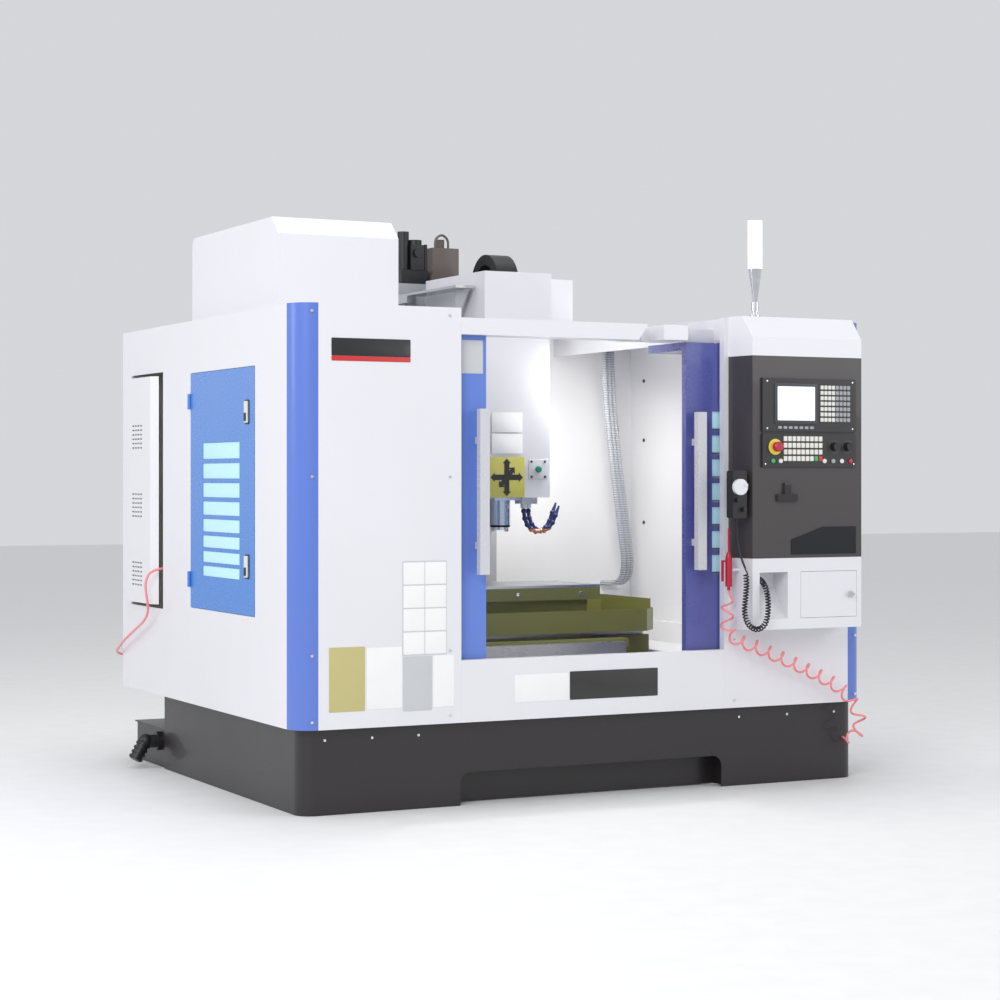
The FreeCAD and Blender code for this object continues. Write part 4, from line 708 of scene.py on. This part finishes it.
def onHead(x, z, lift=0.0002):
    # a place on the head cover's front: x and z in millimetres, lift in metres
    return (onFront(x, 0, 0)[0], headFront - lift, z / 1000)


plate("headYellowPlate", onHead(headPlate["x"], headPlate["z"]), headPlate["wide"], headPlate["tall"],
      headPlate["thick"], "-y", yellow, "head_body", "yellow", 0.003)


def doubleArrow(name, centre, reach, half, head, turn, made):
    # a bar with a point at each end, as one flat outline turned about its centre
    outline = np.array([(-reach, 0), (-reach + head, -head), (-reach + head, -half), (reach - head, -half),
                        (reach - head, -head), (reach, 0), (reach - head, head), (reach - head, half),
                        (-reach + head, half), (-reach + head, head)], float)
    x = outline[:, 0] * math.cos(turn) - outline[:, 1] * math.sin(turn)
    z = outline[:, 0] * math.sin(turn) + outline[:, 1] * math.cos(turn)
    back = np.stack([centre[0] + x, np.full(len(x), centre[1]), centre[2] + z], axis=1)
    points = np.concatenate([back, back + np.array((0.0, -0.0006, 0.0))])
    return addMesh(name, points, ringFaces(2, len(outline)), made, "head_body", False)


# reach, half width and turn of each arrow, and how far each lies in front of the one before
headArrows = {"sizes": ((0.072, 0.011, 0.0), (0.074, 0.011, math.pi / 2), (0.052, 0.009, 0.86)),
              "head": 0.019, "lift": 0.0017, "step": 0.0007}
arrowCentre = onHead(headPlate["x"], headPlate["z"], headArrows["lift"])
for n, (reach, half, turn) in enumerate(headArrows["sizes"]):
    place = (arrowCentre[0], arrowCentre[1] - headArrows["step"] * n, arrowCentre[2])
    doubleArrow(f"headArrow{n}", place, reach, half, headArrows["head"], turn, blackPaint)

headCards = {"x": 1150, "low": 1310, "pitch": 84, "wide": 0.136, "tall": 0.078}
for row in range(2):
    place = onHead(headCards["x"], headCards["low"] + headCards["pitch"] * row)
    plate(f"headCard{row}", place, headCards["wide"], headCards["tall"], 0.001, "-y", whiteLabel,
          "head_body", "grey_plastic", 0.002, 0.0004)

# the push button to the right of the yellow plate, on its own small plate
pump = {"x": 1288, "z": 1210, "wide": 0.084, "tall": 0.080, "lift": 0.0017, "radius": 0.013, "height": 0.010,
        "screwReach": 30, "screwRadius": 0.005}
buttonGreen = moulded("buttonGreen", (0.02, 0.22, 0.16), rough=0.3)
plate("pumpPlate", onHead(pump["x"], pump["z"]), pump["wide"], pump["tall"], 0.0015, "-y", satinSilver,
      "head_body", "white", 0.003)
turned("pumpButton", onHead(pump["x"], pump["z"], pump["lift"]), "-y",
       buttonProfile(pump["radius"], pump["height"]), buttonGreen, "head_body", 28)
for n, (signX, signZ) in enumerate(((-1, -1), (1, -1), (-1, 1), (1, 1))):
    x, z = pump["x"] + signX * pump["screwReach"], pump["z"] + signZ * pump["screwReach"]
    place = onHead(x, z, pump["lift"])
    screwHead(f"pumpScrew{n}", place, "-y", "head_body", pump["screwRadius"], blackPaint)

tableScrews = {"shares": (0.12, 0.5, 0.88), "drop": 0.034, "radius": 0.008}
tableLow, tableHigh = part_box("work_table")
for n, share in enumerate(tableScrews["shares"]):
    x = float(tableLow[0] + (tableHigh[0] - tableLow[0]) * share)
    place = (x, float(tableLow[1]) - 0.0002, float(tableHigh[2]) - tableScrews["drop"])
    screwHead(f"tableScrew{n}", place, "-y", "table_body", tableScrews["radius"])
print("plates set")


panelFace = float(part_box("operator_panel")[0][1]) - 0.0002

# places in millimetres from the enclosure's front left corner, sizes of keys in metres
screen = {"left": 1885, "right": 2054, "low": 1393, "high": 1521, "bezel": 26,
          "softKeys": 7, "softInset": 12, "softDrop": 27, "softKey": (0.016, 0.010)}
dataKeys = {"left": 2089, "pitch": 17.5, "columns": 8, "whiteColumns": 4,
            "rows": 7, "top": 1520, "rowPitch": 20.5, "key": (0.0135, 0.0145)}
modeKeys = {"left": 1922, "pitch": 20, "columns": 9, "rows": 4, "top": 1324, "rowPitch": 25,
            "key": (0.0155, 0.0185), "green": (3, 7), "red": (3, 8)}
dials = {"stop": (1877, 1293), "speeds": (2145, 2206), "height": 1295}
roundKeys = {"places": (1866, 1900, 2100, 2140, 2180, 2220), "height": 1240, "radius": 0.0085, "tall": 0.006}
panelScrews = ((1840, 1540), (2230, 1540), (1840, 1362), (2230, 1362), (1832, 1228), (2236, 1228))
keyThick = 0.003


def onPanel(x, z, lift=0.0):
    # a place on the operator panel: x and z in millimetres, lift in metres
    return (onFront(x, 0, 0)[0], panelFace - lift, z / 1000)


screenGlass = glowing("screenGlow", (0.78, 0.88, 0.97), 0.55)
bezel = moulded("bezelGrey", (0.05, 0.05, 0.055), rough=0.45)
keyWhite = moulded("keyWhite", (0.74, 0.73, 0.68), rough=0.45)
keyGrey = moulded("keyGrey", (0.34, 0.35, 0.37), rough=0.45)
keyGreen = moulded("keyGreen", (0.05, 0.38, 0.12), rough=0.35)
keyRed = moulded("keyRed", (0.55, 0.03, 0.03), rough=0.35)


def panelKey(name, x, z, size, made):
    plate(name, onPanel(x, z), *size, keyThick, "-y", made, "frame", "grey_plastic", 0.002)


def screenParts():
    # the bezel, the glass in front of it and the row of soft keys below
    s = screen
    middle = ((s["left"] + s["right"]) / 2, (s["low"] + s["high"]) / 2)
    wide, tall = s["right"] - s["left"], s["high"] - s["low"]
    plate("screenBezel", onPanel(*middle), (wide + s["bezel"]) / 1000, (tall + s["bezel"]) / 1000,
          0.004, "-y", bezel, "frame", "black_plastic", 0.006, 0.002)
    plate("screenGlass", onPanel(*middle, 0.0041), wide / 1000, tall / 1000,
          0.001, "-y", screenGlass, "frame", "black_plastic", 0.003)
    for n in range(s["softKeys"]):
        x = s["left"] + s["softInset"] + n * (wide - 2 * s["softInset"]) / (s["softKeys"] - 1)
        panelKey(f"softKey{n}", x, s["low"] - s["softDrop"], s["softKey"], keyGrey)


def keyFields():
    # the field of data keys beside the screen, and the field of mode keys below it
    s = dataKeys
    for row in range(s["rows"]):
        for column in range(s["columns"]):
            x, z = s["left"] + column * s["pitch"], s["top"] - row * s["rowPitch"]
            made = keyWhite if column < s["whiteColumns"] else keyGrey
            panelKey(f"key{row}x{column}", x, z, s["key"], made)
    s = modeKeys
    colours = {s["red"]: keyRed, s["green"]: keyGreen}
    for row in range(s["rows"]):
        for column in range(s["columns"]):
            x, z = s["left"] + column * s["pitch"], s["top"] - row * s["rowPitch"]
            panelKey(f"modeKey{row}x{column}", x, z, s["key"], colours.get((row, column), keyWhite))


def dialFaces():
    # a yellow ring behind the emergency stop and a dark face behind each override knob
    turned("stopRing", onPanel(*dials["stop"]), "-y", discProfile(0.0125, 0.030, 0.0016, 0.001, 0.0006),
           yellowLabel, "frame", 40)
    for n, x in enumerate(dials["speeds"]):
        turned(f"dialFace{n}", onPanel(x, dials["height"]), "-y", discProfile(0.0065, 0.027, 0.0006),
               bezel, "frame", 40)


screenParts()
keyFields()
dialFaces()
for n, (x, z) in enumerate(panelScrews):
    screwHead(f"panelScrew{n}", onPanel(x, z), "-y", "frame", 0.0035)
roundColours = (keyGreen, keyWhite, keyWhite, keyGrey, keyWhite, keyRed)
for n, (x, made) in enumerate(zip(roundKeys["places"], roundColours)):
    profile = buttonProfile(roundKeys["radius"], roundKeys["tall"])
    turned(f"roundKey{n}", onPanel(x, roundKeys["height"]), "-y", profile, made, "frame", 24)


# corners of the plate under the panel, x and z in millimetres, and the console's face behind it
lowerPlate = {"corners": ((1954, 886), (2252, 886), (2252, 990), (2097, 990), (1954, 943)), "face": -140,
              "thick": 0.002}
hangerScrews = ((1932, 1128), (1912, 1099), (1953, 1099))


def fiveSided(name, made):
    # glossy plate under the panel, with its top left corner cut away
    outline = np.array(lowerPlate["corners"], float)
    x = outline[:, 0] / 1000 + origin[0]
    z = outline[:, 1] / 1000
    y = float(fromCorner((0, lowerPlate["face"], 0))[1])
    back = np.stack([x, np.full(len(x), y - 0.0002), z], axis=1)
    points = np.concatenate([back, back + np.array((0.0, -lowerPlate["thick"], 0.0))])
    return addMesh(name, points, ringFaces(2, len(x)), made, "frame", False)


glossBlack = moulded("glossBlack", (0.010, 0.010, 0.014), rough=0.12, texture=60.0, strength=0.0)
fiveSided("lowerPlate", glossBlack)
for n, (x, z) in enumerate(hangerScrews):
    screwHead(f"hangerScrew{n}", onFront(x, lowerPlate["face"] - 0.2, z), "-y", "frame", 0.006)
print("console dressed")


# bolts on the right inner wall, in millimetres: the sheet is 4 thick
wallBolts = {"heights": (620, 980, 1340, 1600), "depths": (200, 560, 920, 1280), "radius": 0.008}
wall = float(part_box("inner_walls")[1][0]) - 0.004
for row, z in enumerate(wallBolts["heights"]):
    for column, y in enumerate(wallBolts["depths"]):
        place = (wall - 0.0002, onFront(0, y, 0)[1], z / 1000)
        screwHead(f"wallBolt{row}x{column}", place, "-x", "frame", wallBolts["radius"], blackPaint)

# seams and screws of the plain rear and right sheets, in metres
seams = {"low": 0.330, "high": 1.750, "wide": 0.004, "thick": 0.0008, "left": -1.153, "span": 2.4,
         "rear": (0.27, 0.50, 0.73), "side": (0.36, 0.68)}
sheetScrews = {"heights": (0.36, 1.04, 1.72), "pitch": 0.575, "rearStart": -1.10, "rearCount": 5,
               "sideStart": -0.74, "sideCount": 4}
seamGrey = moulded("seamGrey", (0.36, 0.36, 0.39), rough=0.5)
shellLow, shellHigh = (np.array(v, float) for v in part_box("rear_shell"))


def seam(name, x, y, facing):
    middle, tall = (seams["low"] + seams["high"]) / 2, seams["high"] - seams["low"]
    plate(name, (x, y, middle), seams["wide"], tall, seams["thick"], facing, seamGrey, "frame",
          "grey_plastic", 0.001, 0.0003)


rearFace, sideFace = shellHigh[1] + 0.0002, shellHigh[0] + 0.0002
for n, share in enumerate(seams["rear"]):
    seam(f"rearSeam{n}", seams["left"] + seams["span"] * share, rearFace, "+y")
for n, share in enumerate(seams["side"]):
    seam(f"sideSeam{n}", sideFace, shellLow[1] + (shellHigh[1] - shellLow[1]) * share, "+x")
for column in range(sheetScrews["rearCount"]):
    x = sheetScrews["rearStart"] + sheetScrews["pitch"] * column
    for z in sheetScrews["heights"]:
        screwHead(f"rearScrew{column}x{int(z * 100)}", (x, rearFace, z), "+y", "frame")
for column in range(sheetScrews["sideCount"]):
    y = sheetScrews["sideStart"] + sheetScrews["pitch"] * column
    for z in sheetScrews["heights"]:
        screwHead(f"sideScrew{column}x{int(z * 100)}", (sideFace, y, z), "+x", "frame")
print("inside, rear and side dressed")


def paleFloor():
    # a level grid just under the part
    span = np.linspace(-30.0, 30.0, 3)
    x, y = np.meshgrid(span, span, indexing="ij")
    points = np.stack([x.ravel(), y.ravel(), np.full(x.size, -0.0005)], axis=1)
    i, j = np.meshgrid(np.arange(2), np.arange(2), indexing="ij")
    faces = np.stack([i * 3 + j, (i + 1) * 3 + j, (i + 1) * 3 + j + 1, i * 3 + j + 1], axis=-1)
    mesh = bpy.data.meshes.new("floor")
    mesh.from_pydata(points.tolist(), [], faces.reshape(-1, 4).tolist())
    floorPaint = moulded("floorPaint", (0.78, 0.78, 0.78), rough=0.7, texture=4.0, strength=0.0)
    mesh.materials.append(floorPaint.material)
    piece = bpy.data.objects.new("floor", mesh)
    bpy.context.collection.objects.link(piece)


def softLight(name, place, aim, size, power, colour=(1.0, 1.0, 1.0)):
    # a round light whose own -z axis is turned from its place towards its aim
    data = bpy.data.lights.new(name, "AREA")
    data.shape = "DISK"
    data.size = size
    data.energy = power
    data.color = colour
    light = bpy.data.objects.new(name, data)
    way = np.array(aim, float) - np.array(place, float)
    tilt = math.atan2(math.hypot(way[0], way[1]), -way[2])
    light.location = place
    light.rotation_euler = (tilt, 0.0, math.atan2(way[1], way[0]) - math.pi / 2)
    bpy.context.collection.objects.link(light)


paleFloor()
daylight = {"colour": (0.92, 0.94, 0.97, 1.0), "strength": 0.72}
softLight("keyLight", (-4.5, -5.0, 4.2), (0.0, -0.3, 1.0), 3.2, 165.0)
softLight("fillLight", (4.5, -5.5, 3.0), (0.4, -0.5, 1.0), 3.0, 60.0)
softLight("sideLight", (-6.0, 0.5, 2.8), (-1.1, 0.0, 1.0), 2.6, 62.0)
softLight("topLight", (0.0, 0.0, 6.0), (0.0, 0.0, 1.0), 4.0, 90.0)
softLight("workLight", (0.42, -0.25, 1.64), (0.05, 0.1, 0.75), 0.22, 9.0, (1.0, 0.98, 0.92))
world = bpy.data.worlds.new("studio")
world.use_nodes = True
sky = world.node_tree.nodes["Background"]
sky.inputs["Color"].default_value = daylight["colour"]
sky.inputs["Strength"].default_value = daylight["strength"]
bpy.context.scene.world = world
bpy.context.scene.view_settings.view_transform = "Standard"
